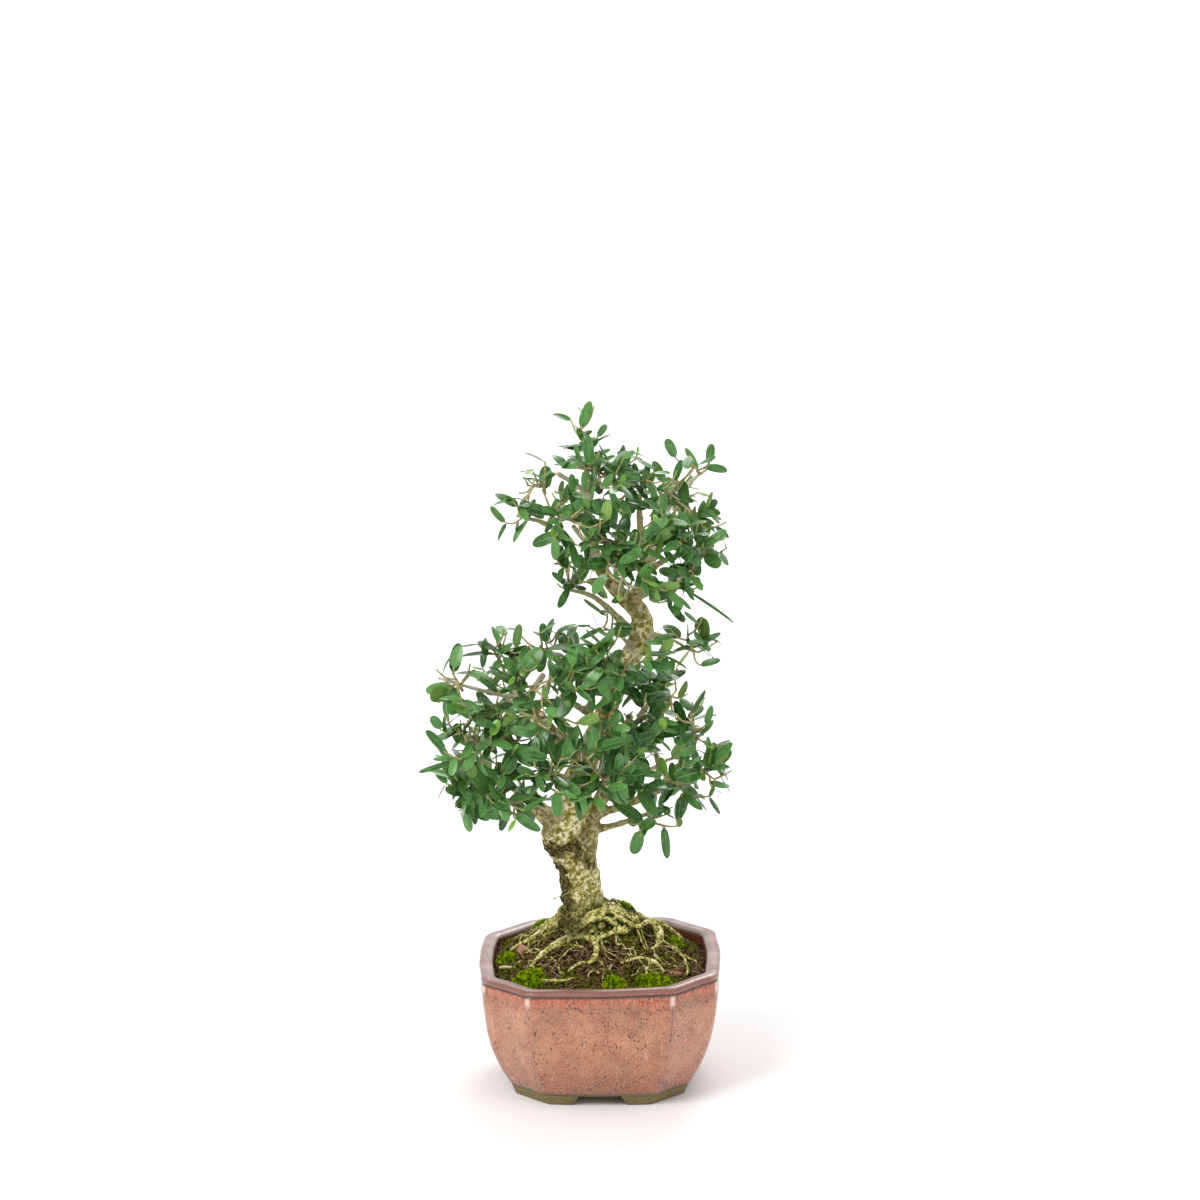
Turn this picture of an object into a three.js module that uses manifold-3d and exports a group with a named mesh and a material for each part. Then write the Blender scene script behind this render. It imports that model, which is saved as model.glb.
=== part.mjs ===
// An olive bonsai in a glazed cut-corner pot. Millimetres, +Z up, the bench at z = 0.
// The pot is centred on (0, 0) while everything is laid out. The crown reaches further to
// the left, so at the end the group is moved to bring the middle of its outline to the origin.
import * as THREE from 'three';
import { mergeVertices } from 'three/addons/utils/BufferGeometryUtils.js';
import Module from 'manifold-3d';

const wasm = await Module();
wasm.setup();

// Driving dimensions.
const GAP = 0.3; // clearance between two pieces that touch
const CORNER_SPACING = 0.01; // corners of one solid stay at least this far apart
const OUTLINE_MIDDLE = { x: -13.5, y: 1 }; // of the whole bonsai, from the pot's centre
const POT_HALF = 75; // half the width of the rim, across the flats
const POT_RIM = 80.4; // top of the rim above the bench
const RIM_LEAN = 3.3; // how much higher the right side of the hand-made rim stands
const LIP_LINE = 76.5; // where the wall meets the underside of the lip
const WALL = { top: 74.2, draw: 17.7, fullness: 2.5 }; // half width, and how it draws in
const FOOT_HEIGHT = 6.5;
const FOOT_HALF = 54; // half the width across the feet, on the bench
const FOOT_GAP = 32; // clear width between two corner feet
const FOOT_DEPTH = 11;
const FLOOR_TOP = 12.5;
const DRAIN_RADIUS = 9.5;
const CUT_RATIO = 0.62; // width of a flat side over the full width, the rest is cut corner
const CORNER_ROUND = 12;
const SIDE_BOW = 0.02; // sides bow out and cut corners hollow in by this share of their distance
const SCREEN = { radius: 14, thickness: 0.8, hole: 4, pitch: 6 };
const CLIP = { wire: 0.6, span: 7.4, leg: 13, bend: 1.6 };
const SOIL_HALF = 65; // half the width of the soil at its surface
const SOIL_LEVEL = 72.5;
const MOUND = { x: 0, y: 16, radius: 70, height: 36, fullness: 1.2 };
const LEAF = { spacing: 7.8, shortest: 11, longest: 24, widthRatio: 0.44, fold: 0.9, root: 0.4 };
const LEAF_FACING = new THREE.Vector3(0, -0.3, 1); // single leaves face up and a little forward
const TWIG = { base: 1.0, tip: 0.5, sprig: 12 };

const colours = {
  glaze: 0xc9806a,
  mesh: 0x2b2c2a,
  wire: 0x8a8f90,
  soil: 0x3a2a20,
  bark: 0x9c9068,
  leaf: 0x34703f,
  moss: 0x7f9a35,
  litter: 0x9a7350,
};

// ---------------------------------------------------------------- solids

// A closed geometry, welded so that only shared positions are left.
function weld(geometry) {
  geometry.deleteAttribute('normal');
  geometry.deleteAttribute('uv');
  return mergeVertices(geometry, 1e-4);
}

function toSolid(geometry) {
  const welded = weld(geometry);
  return new wasm.Manifold(new wasm.Mesh({
    numProp: 3,
    vertProperties: new Float32Array(welded.attributes.position.array),
    triVerts: new Uint32Array(welded.index.array),
  }));
}

function toGeometry(solid) {
  const mesh = solid.getMesh();
  const geometry = new THREE.BufferGeometry();
  geometry.setAttribute('position', new THREE.BufferAttribute(mesh.vertProperties, mesh.numProp));
  geometry.setIndex(new THREE.BufferAttribute(mesh.triVerts, 1));
  geometry.computeVertexNormals();
  return geometry;
}

function join(solids) {
  return solids.reduce((whole, solid) => whole.add(solid));
}

function largest(solid) {
  const bodies = solid.decompose();
  return bodies.reduce((best, body) => (body.volume() > best.volume() ? body : best));
}

// A skin over a stack of rings, closed by a point at each end. Seen from the end point
// the rings run anticlockwise. It is a sphere's mesh with its rows moved onto the rings.
function loft(start, rings, end) {
  const sides = rings[0].length;
  const geometry = new THREE.SphereGeometry(1, sides, rings.length + 1);
  const position = geometry.attributes.position;
  for (let row = 0; row <= rings.length + 1; row += 1) {
    for (let column = 0; column <= sides; column += 1) {
      let point = end;
      if (row === 0) point = start;
      else if (row <= rings.length) point = rings[row - 1][(2 * sides - column) % sides];
      position.setXYZ(row * (sides + 1) + column, point.x, point.y, point.z);
    }
  }
  return toSolid(geometry);
}

function vector([x, y, z]) {
  return new THREE.Vector3(x, y, z);
}

function onAxis(z) {
  return new THREE.Vector3(0, 0, z);
}

// A round, tapering limb through points [x, y, z, radius]; extra thickens it all round.
function limb(route, sides, extra = 0) {
  const curve = new THREE.CatmullRomCurve3(route.map(vector));
  const steps = route.length - 1;
  const frames = curve.computeFrenetFrames(steps, false);
  const rings = [];
  for (let step = 0; step <= steps; step += 1) {
    const along = curve.getUtoTmapping(step / steps) * steps;
    const before = Math.min(Math.floor(along), steps - 1);
    const radius = extra + THREE.MathUtils.lerp(route[before][3], route[before + 1][3], along - before);
    const centre = curve.getPointAt(step / steps);
    if (step === 0) centre.addScaledVector(frames.tangents[0], -extra);
    if (step === steps) centre.addScaledVector(frames.tangents[steps], extra);
    rings.push(Array.from({ length: sides }, (_, side) => {
      const angle = (side / sides) * 2 * Math.PI;
      return centre.clone()
        .addScaledVector(frames.normals[step], radius * Math.cos(angle))
        .addScaledVector(frames.binormals[step], radius * Math.sin(angle));
    }));
  }
  const middle = (ring) => ring.reduce((sum, point) => sum.add(point), new THREE.Vector3())
    .divideScalar(sides);
  return loft(middle(rings[0]), rings, middle(rings[steps]));
}

// A straight-sided bar through a list of profile points, run along X for a given length.
function bar(profile, length) {
  const shape = new THREE.Shape(profile.map(([across, up]) => new THREE.Vector2(across, up)));
  const geometry = new THREE.ExtrudeGeometry(shape, { depth: length, bevelEnabled: false });
  geometry.translate(0, 0, -length / 2);
  geometry.rotateX(Math.PI / 2);
  geometry.rotateZ(Math.PI / 2);
  return toSolid(geometry);
}

function disc(radius, bottom, top) {
  const geometry = new THREE.CylinderGeometry(radius, radius, top - bottom, 24);
  geometry.rotateX(Math.PI / 2);
  geometry.translate(0, 0, (top + bottom) / 2);
  return toSolid(geometry);
}

// ---------------------------------------------------------------- pot

// One level of the pot: a square with bowed sides and cut, hollowed, rounded corners.
function potRing(half, z, round = CORNER_ROUND) {
  const flat = half * CUT_RATIO;
  const corners = [];
  for (let side = 0; side < 4; side += 1) {
    const turn = (side * Math.PI) / 2;
    corners.push(new THREE.Vector2(half, -flat).rotateAround(new THREE.Vector2(), turn));
    corners.push(new THREE.Vector2(half, flat).rotateAround(new THREE.Vector2(), turn));
  }
  const outline = new THREE.Path();
  corners.forEach((corner, index) => {
    const last = corners[(index + corners.length - 1) % corners.length];
    const next = corners[(index + 1) % corners.length];
    const enter = corner.clone().add(last.clone().sub(corner).setLength(round / 2));
    const leave = corner.clone().add(next.clone().sub(corner).setLength(round / 2));
    if (index === 0) outline.moveTo(enter.x, enter.y);
    else outline.lineTo(enter.x, enter.y);
    outline.quadraticCurveTo(corner.x, corner.y, leave.x, leave.y);
    outline.lineTo((corner.x + next.x) / 2, (corner.y + next.y) / 2);
  });
  const points = outline.getPoints(2);
  return points.map(({ x, y }) => {
    const bow = 1 + SIDE_BOW * (Math.cos(4 * Math.atan2(y, x)) - 1);
    const lean = (RIM_LEAN / 2) * (x / POT_HALF) * Math.max(0, z / POT_RIM) ** 3;
    return new THREE.Vector3(x * bow, y * bow, z + lean);
  });
}

// The wall draws in slowly below the lip and faster towards the feet.
function wallHalf(z) {
  const down = (LIP_LINE - z) / (LIP_LINE - FOOT_HEIGHT);
  return WALL.top - WALL.draw * THREE.MathUtils.clamp(down, 0, 1) ** WALL.fullness;
}

function makePot() {
  const outside = [FOOT_HEIGHT, 16, 28, 44, 60, LIP_LINE].map((z) => potRing(wallHalf(z), z));
  const lip = [
    [74.4, 76.8],
    [POT_HALF, 78],
    [74.2, 79.9],
    [71, POT_RIM],
    [66.8, 79.6],
  ].map(([half, z]) => potRing(half, z));
  const inside = [
    [66, 77],
    [64, 50],
    [60, 28],
    [54, 16],
    [46, FLOOR_TOP],
  ].map(([half, z]) => potRing(half, z, CORNER_ROUND - 1));
  const cup = loft(onAxis(FOOT_HEIGHT), [...outside, ...lip, ...inside], onAxis(FLOOR_TOP));

  const footTop = FOOT_HEIGHT + 1;
  const footRing = loft(
    onAxis(0),
    [potRing(FOOT_HALF, 0), potRing(wallHalf(FOOT_HEIGHT), footTop)],
    onAxis(footTop),
  );
  const inner = FOOT_HALF - FOOT_DEPTH;
  const hollow = loft(onAxis(-1), [potRing(inner, -1), potRing(inner, FOOT_HEIGHT)], onAxis(FOOT_HEIGHT));
  const half = FOOT_GAP / 2;
  const arch = [[-half - 1, -1], [half + 1, -1], [half - 3, FOOT_HEIGHT], [3 - half, FOOT_HEIGHT]];
  const archX = bar(arch, 3 * POT_HALF);
  const archY = archX.rotate([0, 0, 90]);
  const feet = footRing.subtract(hollow).subtract(archX).subtract(archY);
  return cup.add(feet).subtract(disc(DRAIN_RADIUS, 0, FLOOR_TOP + 5));
}

// ---------------------------------------------------------------- drain screen and its clip

function clipWire(extra = 0) {
  const under = FOOT_HEIGHT - GAP - CLIP.wire;
  const over = FLOOR_TOP + 2 * GAP + SCREEN.thickness + CLIP.wire;
  const { span, leg, bend } = CLIP;
  const halfPath = [
    [leg, 0, under],
    [span + bend, 0, under],
    [span, 0, under + bend],
    [span, 0, over - bend],
    [span - bend, 0, over],
  ];
  const otherHalf = halfPath.map(([x, y, z]) => [-x, y, z]).reverse();
  const path = new THREE.CatmullRomCurve3([...halfPath, ...otherHalf].map(vector));
  const shape = new THREE.Shape();
  shape.absarc(0, 0, CLIP.wire + extra, 0, 2 * Math.PI, false);
  const wire = { steps: 18, curveSegments: 3, bevelEnabled: false, extrudePath: path };
  return toSolid(new THREE.ExtrudeGeometry(shape, wire));
}

function makeScreen() {
  const bottom = FLOOR_TOP + GAP;
  let screen = disc(SCREEN.radius, bottom, bottom + SCREEN.thickness);
  for (let row = -1; row <= 1; row += 1) {
    for (let column = -1; column <= 1; column += 1) {
      const x = column * SCREEN.pitch;
      const y = row * SCREEN.pitch;
      const geometry = new THREE.BoxGeometry(SCREEN.hole, SCREEN.hole, 4);
      geometry.translate(x, y, bottom);
      screen = screen.subtract(toSolid(geometry));
    }
  }
  return screen.subtract(clipWire(GAP));
}

// ---------------------------------------------------------------- soil

function soilHeight(x, y) {
  const near = Math.max(0, 1 - Math.hypot(x - MOUND.x, y - MOUND.y) / MOUND.radius);
  const lumps = 0.9 * Math.sin(x * 0.19 + 1) * Math.cos(y * 0.16);
  return SOIL_LEVEL + MOUND.height * near ** MOUND.fullness + lumps;
}

function soilBody(raised = 0) {
  const wall = [
    [45.6, FLOOR_TOP + GAP],
    [53.6, 16.2],
    [59.6, 28],
    [63.6, 50],
  ].map(([half, z]) => potRing(half, z, CORNER_ROUND - 1));
  const edge = potRing(SOIL_HALF, 0, CORNER_ROUND - 1);
  const top = [1, 0.84, 0.68, 0.52, 0.36, 0.2].map((scale) => edge.map((point) => {
    const x = MOUND.x + (point.x - MOUND.x) * scale;
    const y = MOUND.y + (point.y - MOUND.y) * scale;
    return new THREE.Vector3(x, y, soilHeight(x, y) + raised);
  }));
  const peak = new THREE.Vector3(MOUND.x, MOUND.y, soilHeight(MOUND.x, MOUND.y) + raised);
  return loft(onAxis(FLOOR_TOP + GAP), [...wall, ...top], peak);
}

// ---------------------------------------------------------------- trunk, branches and roots

// Each limb is a list of points [x, y, z, radius]; every limb starts inside the one it grew from.
const TRUNK = [
  [-6, 8, 72, 18], [-8, 8, 90, 16], [-10, 9, 107, 13.8], [-12, 9, 124, 12], [-15, 6, 138, 12.3],
  [-21, 2, 149, 12], [-25, -2, 157, 10.8], [-21, -5, 167, 10.4], [-15, -8, 180, 10],
  [-14, -8, 192, 9], [-9, -4, 205, 8], [0, 3, 224, 7.2], [8, 7, 244, 6.5], [18, 8, 267, 6.3],
  [26, 8, 283, 7], [24, 6, 296, 6.2], [12, 4, 309, 4.8], [3, 2, 321, 4.1], [-3, 1, 334, 3.6],
  [-7, 4, 352, 3], [-7, 5, 370, 2.4], [-8, 4, 392, 1.1],
];

const LIMBS = {
  second_stem: [[-12, 4, 136, 7.4], [-9, 6, 147, 6.4], [-5, 10, 165, 5.2], [2, 14, 179, 4.6],
    [10, 18, 202, 3.5], [19, 24, 227, 2.2]],
  right_low: [[-2, 9, 158, 2.4], [4, 6, 160, 2.2], [12, 0, 164, 2], [21, -6, 169, 1.7],
    [32, -12, 175, 1.3]],
  right_mid: [[1, 12, 168, 2.6], [14, 4, 174, 2.3], [31, -6, 185, 2.5], [42, -10, 191, 2],
    [53, -12, 197, 1.4], [65, -12, 202, 1]],
  right_riser: [[34, -7, 187, 2.2], [36, -8, 202, 1.9], [33, -8, 216, 1.5]],
  right_high: [[10, 18, 202, 2.4], [20, 4, 208, 2.1], [30, -6, 215, 1.9], [44, -12, 227, 1.6],
    [66, -15, 228, 1.2]],
  right_crest: [[13, 20, 211, 2.2], [22, 14, 224, 2], [29, 8, 237, 1.6], [31, 4, 246, 1.1]],
  left_low: [[-23, -2, 161, 4.5], [-33, -6, 168, 3.4], [-46, -14, 185, 2.8], [-54, -18, 193, 2.5],
    [-73, -26, 201, 1.8]],
  left_thin: [[-25, -8, 174, 1.8], [-40, -20, 184, 1.2], [-51, -26, 203, 1], [-53, -26, 225, 0.8]],
  left_limb: [[-9, -5, 206, 5], [-21, -12, 220, 4.2], [-33, -18, 232, 3.8], [-46, -20, 250, 3.2]],
  left_crest: [[-45, -19, 248, 2], [-54, -10, 254, 1.4], [-61, -4, 269, 0.9]],
  pale_twig: [[-44, -20, 249, 2], [-61, -28, 254, 1.5], [-78, -34, 260, 1.2], [-98, -37, 267, 1]],
  raised_stub: [[-44, -20, 249, 2.4], [-40, -22, 256, 2.2], [-34, -25, 266, 1.9]],
  ringed_stub: [[-32, -18, 232, 2.4], [-34, -40, 243, 2.1], [-35, -56, 250, 1.9]],
  left_front: [[-26, -14, 225, 3], [-42, -26, 232, 2.4], [-59, -44, 232, 2], [-73, -54, 218, 1.7]],
  top_left: [[-39, -18, 240, 2], [-32, -6, 251, 1.7], [-30, 0, 262, 1.3], [-31, 1, 270, 1]],
  centre_front: [[3, 4, 225, 3], [-1, -10, 230, 2.6], [-9, -26, 243, 2.2], [-24, -40, 256, 1.8]],
  centre_twig: [[-9, -26, 243, 1.6], [-5, -30, 252, 1.2], [2, -35, 265, 0.9]],
  centre_right: [[7, 6, 238, 2], [7, -20, 248, 1.6], [13, -34, 273, 1.3]],
  front_low: [[-15, -10, 188, 2.8], [-17, -30, 199, 2.2], [-27, -46, 210, 1.2]],
  front_right: [[-10, -6, 200, 2.6], [-5, -32, 204, 1.8], [1, -48, 212, 1.2]],
  back_left: [[-12, -2, 200, 3.6], [-19, 25, 203, 3], [-31, 45, 208, 2.4], [-55, 60, 227, 1.2]],
  back_right: [[10, 18, 200, 2.6], [20, 38, 205, 2.4], [37, 55, 225, 1.3]],
  back_middle: [[-4, 2, 216, 3], [-5, 30, 217, 2.5], [-7, 52, 238, 1.3]],
  back_low_left: [[-23, 2, 158, 3.4], [-34, 20, 168, 2.4], [-65, 40, 183, 1.2]],
  back_low_right: [[2, 14, 177, 2.6], [14, 36, 178, 2.2], [42, 54, 189, 1.2]],
  neck_right: [[25, 8, 283, 2], [38, 2, 283, 1.4], [58, -16, 277, 0.9]],
  neck_left: [[20, 8, 272, 1.8], [15, 0, 281, 1.2], [7, -8, 290, 0.9]],
  neck_stub: [[26, 7, 291, 4.6], [26, 1, 299, 3.4], [22, -4, 307, 2.6]],
  upper_left_twig: [[22, 8, 281, 3], [12, 2, 293, 2.2], [-4, -4, 309, 1.7], [-21, -12, 316, 1.1]],
  upper_left: [[0, 1, 327, 3.2], [-13, -8, 333, 2.8], [-25, -16, 352, 2], [-36, -22, 360, 1.5],
    [-44, -26, 363, 1]],
  left_riser: [[-19, -12, 342, 1.6], [-26, -10, 355, 1.2], [-35, -6, 377, 0.8]],
  right_stem: [[19, 5, 302, 4.2], [27, 10, 319, 3.2], [25, 9, 342, 2.5], [24, 5, 365, 1.8],
    [26, 3, 383, 1.3]],
  right_reach: [[27, 10, 319, 2.7], [35, 14, 334, 2.3], [41, 12, 359, 1.8], [54, 4, 378, 1.4],
    [66, -2, 389, 1]],
  right_droop: [[18, 5, 303, 2.4], [27, -8, 311, 1.7], [42, -18, 319, 1.4], [50, -22, 320, 1.1]],
  right_arm: [[27, 10, 320, 2.4], [39, -2, 331, 1.9], [63, -22, 346, 1.5], [75, -30, 352, 1.3]],
  dark_stub: [[25, 9, 338, 2], [24, -6, 350, 1.7], [25, -14, 361, 1.5]],
  pale_stub: [[0, 1, 327, 2.4], [-7, -20, 344, 1.7], [-16, -42, 362, 1.5]],
  crest_stub: [[-7, 5, 368, 2], [-12, -10, 378, 1.7], [-26, -26, 391, 1.5]],
  upper_ring_stub: [[11, 4, 310, 2.8], [9, -14, 318, 2], [8, -26, 322, 1.7]],
  upper_front: [[-1, 1, 330, 2], [6, -22, 341, 1.4], [10, -38, 349, 0.9]],
  upper_back: [[4, 2, 320, 2.8], [0, 25, 325, 2.1], [-14, 42, 346, 1.1]],
  upper_back_right: [[27, 10, 319, 2.6], [31, 30, 327, 2], [34, 44, 355, 1]],
};

const ROOTS = {
  left: [[-10, 10, 104, 8], [-24, 14, 96, 4.6], [-32, 18, 90, 3.3], [-41, 18, 84, 2.5],
    [-50, 20, 78, 2], [-60, 22, 71, 1.4]],
  front: [[6, 4, 97, 4.4], [12, -4, 96, 3], [2, -8, 95, 2.6], [-8, -9, 94, 2.5], [-18, -6, 93, 2.5],
    [-34, -4, 84, 2], [-44, -6, 77, 1.4]],
  front_down: [[-3, -8, 95, 2.4], [-2, -16, 90, 2], [-5, -22, 85, 1.7], [-8, -30, 78, 1.2]],
  low_arch: [[-18, -1, 93, 2.4], [-10, 1, 99, 2.8], [4, 2, 103, 3], [11, 1, 99, 2.8], [18, -1, 93, 2.2]],
  high_arch: [[-9, 2, 100, 2.8], [-5, 2, 105, 2.8], [4, 1, 107, 2.8], [12, 2, 105, 2.6], [20, 6, 99, 2.2]],
  right: [[4, 10, 103, 6], [14, 9, 101, 3.8], [24, 10, 97, 2.8], [31, 15, 94, 3], [37, 15, 90, 2.6],
    [38, 9, 86, 2.2], [35, 2, 83, 1.8], [31, -6, 80, 1.3]],
  right_fork: [[31, 15, 94, 2.8], [41, 20, 89, 2.4], [49, 24, 82, 2], [57, 25, 74, 1.3]],
  right_low: [[37, 12, 87, 2.2], [44, 7, 84, 1.8], [50, -2, 80, 1.6], [54, -20, 72, 1.2]],
  right_front: [[16, 4, 97, 2.4], [24, -6, 89, 1.8], [34, -19, 81, 1.6], [44, -32, 73, 1]],
  front_low: [[10, -4, 94, 2.6], [7, -16, 86, 2], [-4, -25, 82, 1.8], [-17, -29, 79, 1.8],
    [-30, -31, 71, 1.2]],
  front_edge: [[-6, -26, 81, 1.4], [-14, -33, 78, 1.4], [-28, -36, 76, 1.4], [-46, -34, 70, 1]],
};

// The whole woody plant is one grown piece. Thicker limbs get more sides.
function makeWood(extra = 0) {
  const limbs = [...Object.values(LIMBS), ...Object.values(ROOTS)];
  const parts = limbs.map((route) => limb(route, route[0][3] > 4 ? 7 : 5, extra));
  return join([limb(TRUNK, 12, extra), ...parts]);
}

// ---------------------------------------------------------------- leafy shoots

// Each shoot has one or more green stems, lists of points [x, y, z] from the wood to the tip.
const SHOOTS = {
  far_left: [
    [[-83, -34, 258], [-86, -38, 265], [-89, -41, 271]],
    [[-86, -38, 265], [-90, -42, 261], [-94, -45, 255]],
  ],
  left_crest: [
    [[-60, -5, 268], [-63, -8, 273], [-65, -10, 278]],
    [[-63, -8, 273], [-57, -7, 276], [-52, -5, 277]],
  ],
  top_left: [
    [[-31, 1, 269], [-32, -1, 275], [-33, -4, 280]],
    [[-32, -1, 275], [-38, -6, 277], [-43, -10, 280]],
  ],
  top_centre: [
    [[-30, -3, 258], [-24, -9, 266], [-20, -14, 273]],
    [[-24, -9, 266], [-17, -14, 268], [-10, -18, 271]],
  ],
  left_knuckle: [
    [[-46, -22, 250], [-51, -38, 261], [-57, -50, 268]],
    [[-51, -38, 261], [-49, -46, 270], [-46, -52, 276]],
    [[-51, -38, 261], [-42, -50, 265], [-35, -58, 269]],
  ],
  ringed_stub: [
    [[-34, -48, 246], [-35, -55, 245], [-37, -61, 245]],
    [[-35, -55, 245], [-24, -60, 248], [-13, -63, 245]],
    [[-35, -55, 245], [-42, -61, 250], [-48, -65, 253]],
  ],
  left_outer: [
    [[-64, -46, 225], [-72, -54, 230], [-81, -58, 233]],
    [[-72, -54, 230], [-76, -58, 239], [-80, -60, 245]],
    [[-72, -54, 230], [-79, -60, 226], [-85, -63, 223]],
  ],
  left_thin: [
    [[-53, -26, 222], [-59, -36, 231], [-64, -44, 238]],
    [[-59, -36, 231], [-63, -42, 241], [-67, -46, 249]],
  ],
  left_low_front: [
    [[-56, -22, 195], [-63, -38, 196], [-69, -50, 197]],
    [[-63, -38, 196], [-58, -46, 194], [-54, -52, 193]],
    [[-63, -38, 196], [-60, -46, 208], [-59, -52, 217]],
  ],
  left_low: [
    [[-71, -26, 200], [-75, -30, 196], [-79, -34, 192]],
    [[-75, -30, 196], [-81, -36, 201], [-87, -40, 205]],
  ],
  centre_low: [
    [[-27, -45, 210], [-28, -55, 207], [-30, -62, 204]],
    [[-28, -55, 207], [-35, -61, 215], [-40, -65, 220]],
    [[-28, -55, 207], [-20, -61, 209], [-13, -65, 206]],
  ],
  centre_front: [
    [[1, -46, 211], [2, -55, 208], [4, -62, 205]],
    [[2, -55, 208], [-4, -61, 217], [-8, -65, 225]],
    [[2, -55, 208], [10, -60, 214], [16, -62, 219]],
  ],
  centre_middle: [
    [[17, 7, 206], [15, -24, 219], [12, -46, 229]],
    [[15, -24, 219], [7, -40, 230], [1, -50, 237]],
    [[15, -24, 219], [23, -34, 226], [30, -40, 230]],
  ],
  right_inner: [
    [[14, 4, 174], [16, -22, 190], [18, -44, 202]],
    [[16, -22, 190], [24, -30, 196], [31, -36, 200]],
  ],
  right_crest: [
    [[31, 5, 245], [34, 3, 252], [37, 0, 257]],
    [[34, 3, 252], [27, -8, 254], [22, -16, 254]],
  ],
  right_riser: [
    [[33, -8, 215], [34, -20, 226], [34, -30, 234]],
    [[34, -20, 226], [27, -28, 235], [22, -34, 243]],
  ],
  right_high: [
    [[54, -14, 228], [58, -20, 225], [63, -24, 223]],
    [[58, -20, 225], [56, -25, 235], [55, -28, 242]],
  ],
  right_middle: [
    [[59, -13, 200], [63, -19, 204], [66, -23, 208]],
    [[63, -19, 204], [66, -24, 202], [70, -27, 200]],
  ],
  right_under: [
    [[49, -12, 195], [52, -18, 192], [55, -22, 188]],
    [[52, -18, 192], [45, -26, 198], [39, -31, 204]],
  ],
  right_low: [
    [[29, -12, 173], [33, -18, 172], [35, -22, 170]],
    [[33, -18, 172], [27, -26, 173], [23, -31, 173]],
  ],
  centre_twig: [
    [[1, -34, 262], [2, -40, 269], [2, -45, 275]],
    [[2, -40, 269], [-4, -44, 272], [-9, -47, 276]],
  ],
  centre_right: [
    [[12, -32, 269], [15, -40, 274], [17, -44, 279]],
    [[15, -40, 274], [22, -42, 277], [28, -43, 279]],
    [[15, -40, 274], [11, -50, 267], [7, -56, 259]],
  ],
  centre_left: [
    [[-21, -39, 254], [-23, -50, 262], [-24, -57, 268]],
    [[-23, -50, 262], [-16, -56, 264], [-9, -60, 267]],
  ],
  back_left: [
    [[-55, 60, 225], [-62, 61, 230], [-69, 62, 234]],
    [[-62, 61, 230], [-56, 66, 221], [-53, 70, 213]],
  ],
  back_right: [
    [[37, 55, 224], [44, 57, 229], [48, 58, 234]],
    [[44, 57, 229], [45, 60, 220], [48, 62, 213]],
  ],
  back_middle: [
    [[-7, 52, 236], [-6, 56, 242], [-5, 58, 247]],
    [[-6, 56, 242], [1, 60, 239], [7, 62, 238]],
  ],
  back_low_left: [
    [[-64, 40, 183], [-72, 43, 186], [-79, 45, 189]],
    [[-72, 43, 186], [-74, 48, 192], [-75, 50, 198]],
  ],
  back_low_right: [
    [[41, 54, 189], [49, 56, 191], [54, 55, 194]],
    [[49, 56, 191], [51, 58, 183], [55, 58, 178]],
  ],
  neck_right: [
    [[51, -12, 279], [56, -17, 279], [60, -20, 278]],
    [[56, -17, 279], [54, -20, 285], [53, -22, 290]],
  ],
  neck_left: [[[8, -7, 289], [6, -12, 290], [2, -16, 293]]],
  apex: [[[-8, 4, 391], [-10, 1, 405], [-12, 0, 413]]],
  crest: [
    [[-6, 3, 380], [-1, -4, 387], [3, -10, 392]],
    [[-1, -4, 387], [0, -28, 386], [1, -46, 386]],
    [[-1, -4, 387], [7, -9, 391], [13, -12, 393]],
    [[-1, -4, 387], [-10, -9, 391], [-17, -12, 393]],
  ],
  left_riser: [
    [[-33, -7, 374], [-34, -10, 379], [-36, -13, 383]],
    [[-34, -10, 379], [-40, -14, 380], [-44, -16, 381]],
  ],
  upper_left: [
    [[-40, -25, 362], [-45, -29, 364], [-50, -33, 366]],
    [[-45, -29, 364], [-45, -34, 371], [-45, -37, 377]],
  ],
  upper_left_front: [
    [[-31, -19, 358], [-29, -32, 367], [-26, -42, 374]],
    [[-29, -32, 367], [-23, -44, 369], [-17, -52, 369]],
  ],
  right_stem: [
    [[25, 2, 372], [21, -5, 378], [17, -10, 381]],
    [[21, -5, 378], [24, -14, 383], [28, -20, 385]],
    [[21, -5, 378], [14, -22, 375], [9, -34, 371]],
  ],
  right_reach: [
    [[60, 1, 384], [57, -8, 391], [53, -12, 393]],
    [[57, -8, 391], [51, -14, 385], [45, -18, 382]],
  ],
  right_reach_front: [
    [[43, 9, 366], [41, -8, 374], [38, -24, 381]],
    [[41, -8, 374], [34, -20, 372], [28, -30, 370]],
    [[41, -8, 374], [51, -16, 368], [59, -22, 364]],
  ],
  right_arm: [
    [[60, -21, 344], [63, -28, 342], [66, -33, 340]],
    [[63, -28, 342], [59, -34, 338], [54, -38, 335]],
    [[63, -28, 342], [54, -40, 349], [45, -50, 354]],
  ],
  right_droop: [
    [[41, -17, 319], [46, -22, 319], [51, -26, 319]],
    [[46, -22, 319], [43, -28, 314], [42, -32, 310]],
  ],
  upper_front: [
    [[9, -36, 348], [10, -44, 348], [11, -52, 354]],
    [[10, -44, 348], [17, -50, 344], [23, -54, 340]],
    [[10, -44, 348], [5, -52, 342], [4, -56, 336]],
    [[10, -44, 348], [4, -50, 355], [-2, -54, 361]],
  ],
  upper_left_twig: [
    [[-19, -11, 315], [-19, -17, 319], [-19, -20, 323]],
    [[-19, -17, 319], [-12, -26, 323], [-5, -32, 326]],
    [[-19, -17, 319], [-19, -29, 331], [-17, -37, 340]],
  ],
  upper_back: [[[-14, 42, 346], [-20, 44, 351], [-25, 45, 354]]],
  upper_back_right: [
    [[34, 44, 354], [37, 45, 361], [39, 45, 366]],
    [[37, 45, 361], [46, 48, 354], [52, 50, 348]],
  ],
};

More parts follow.
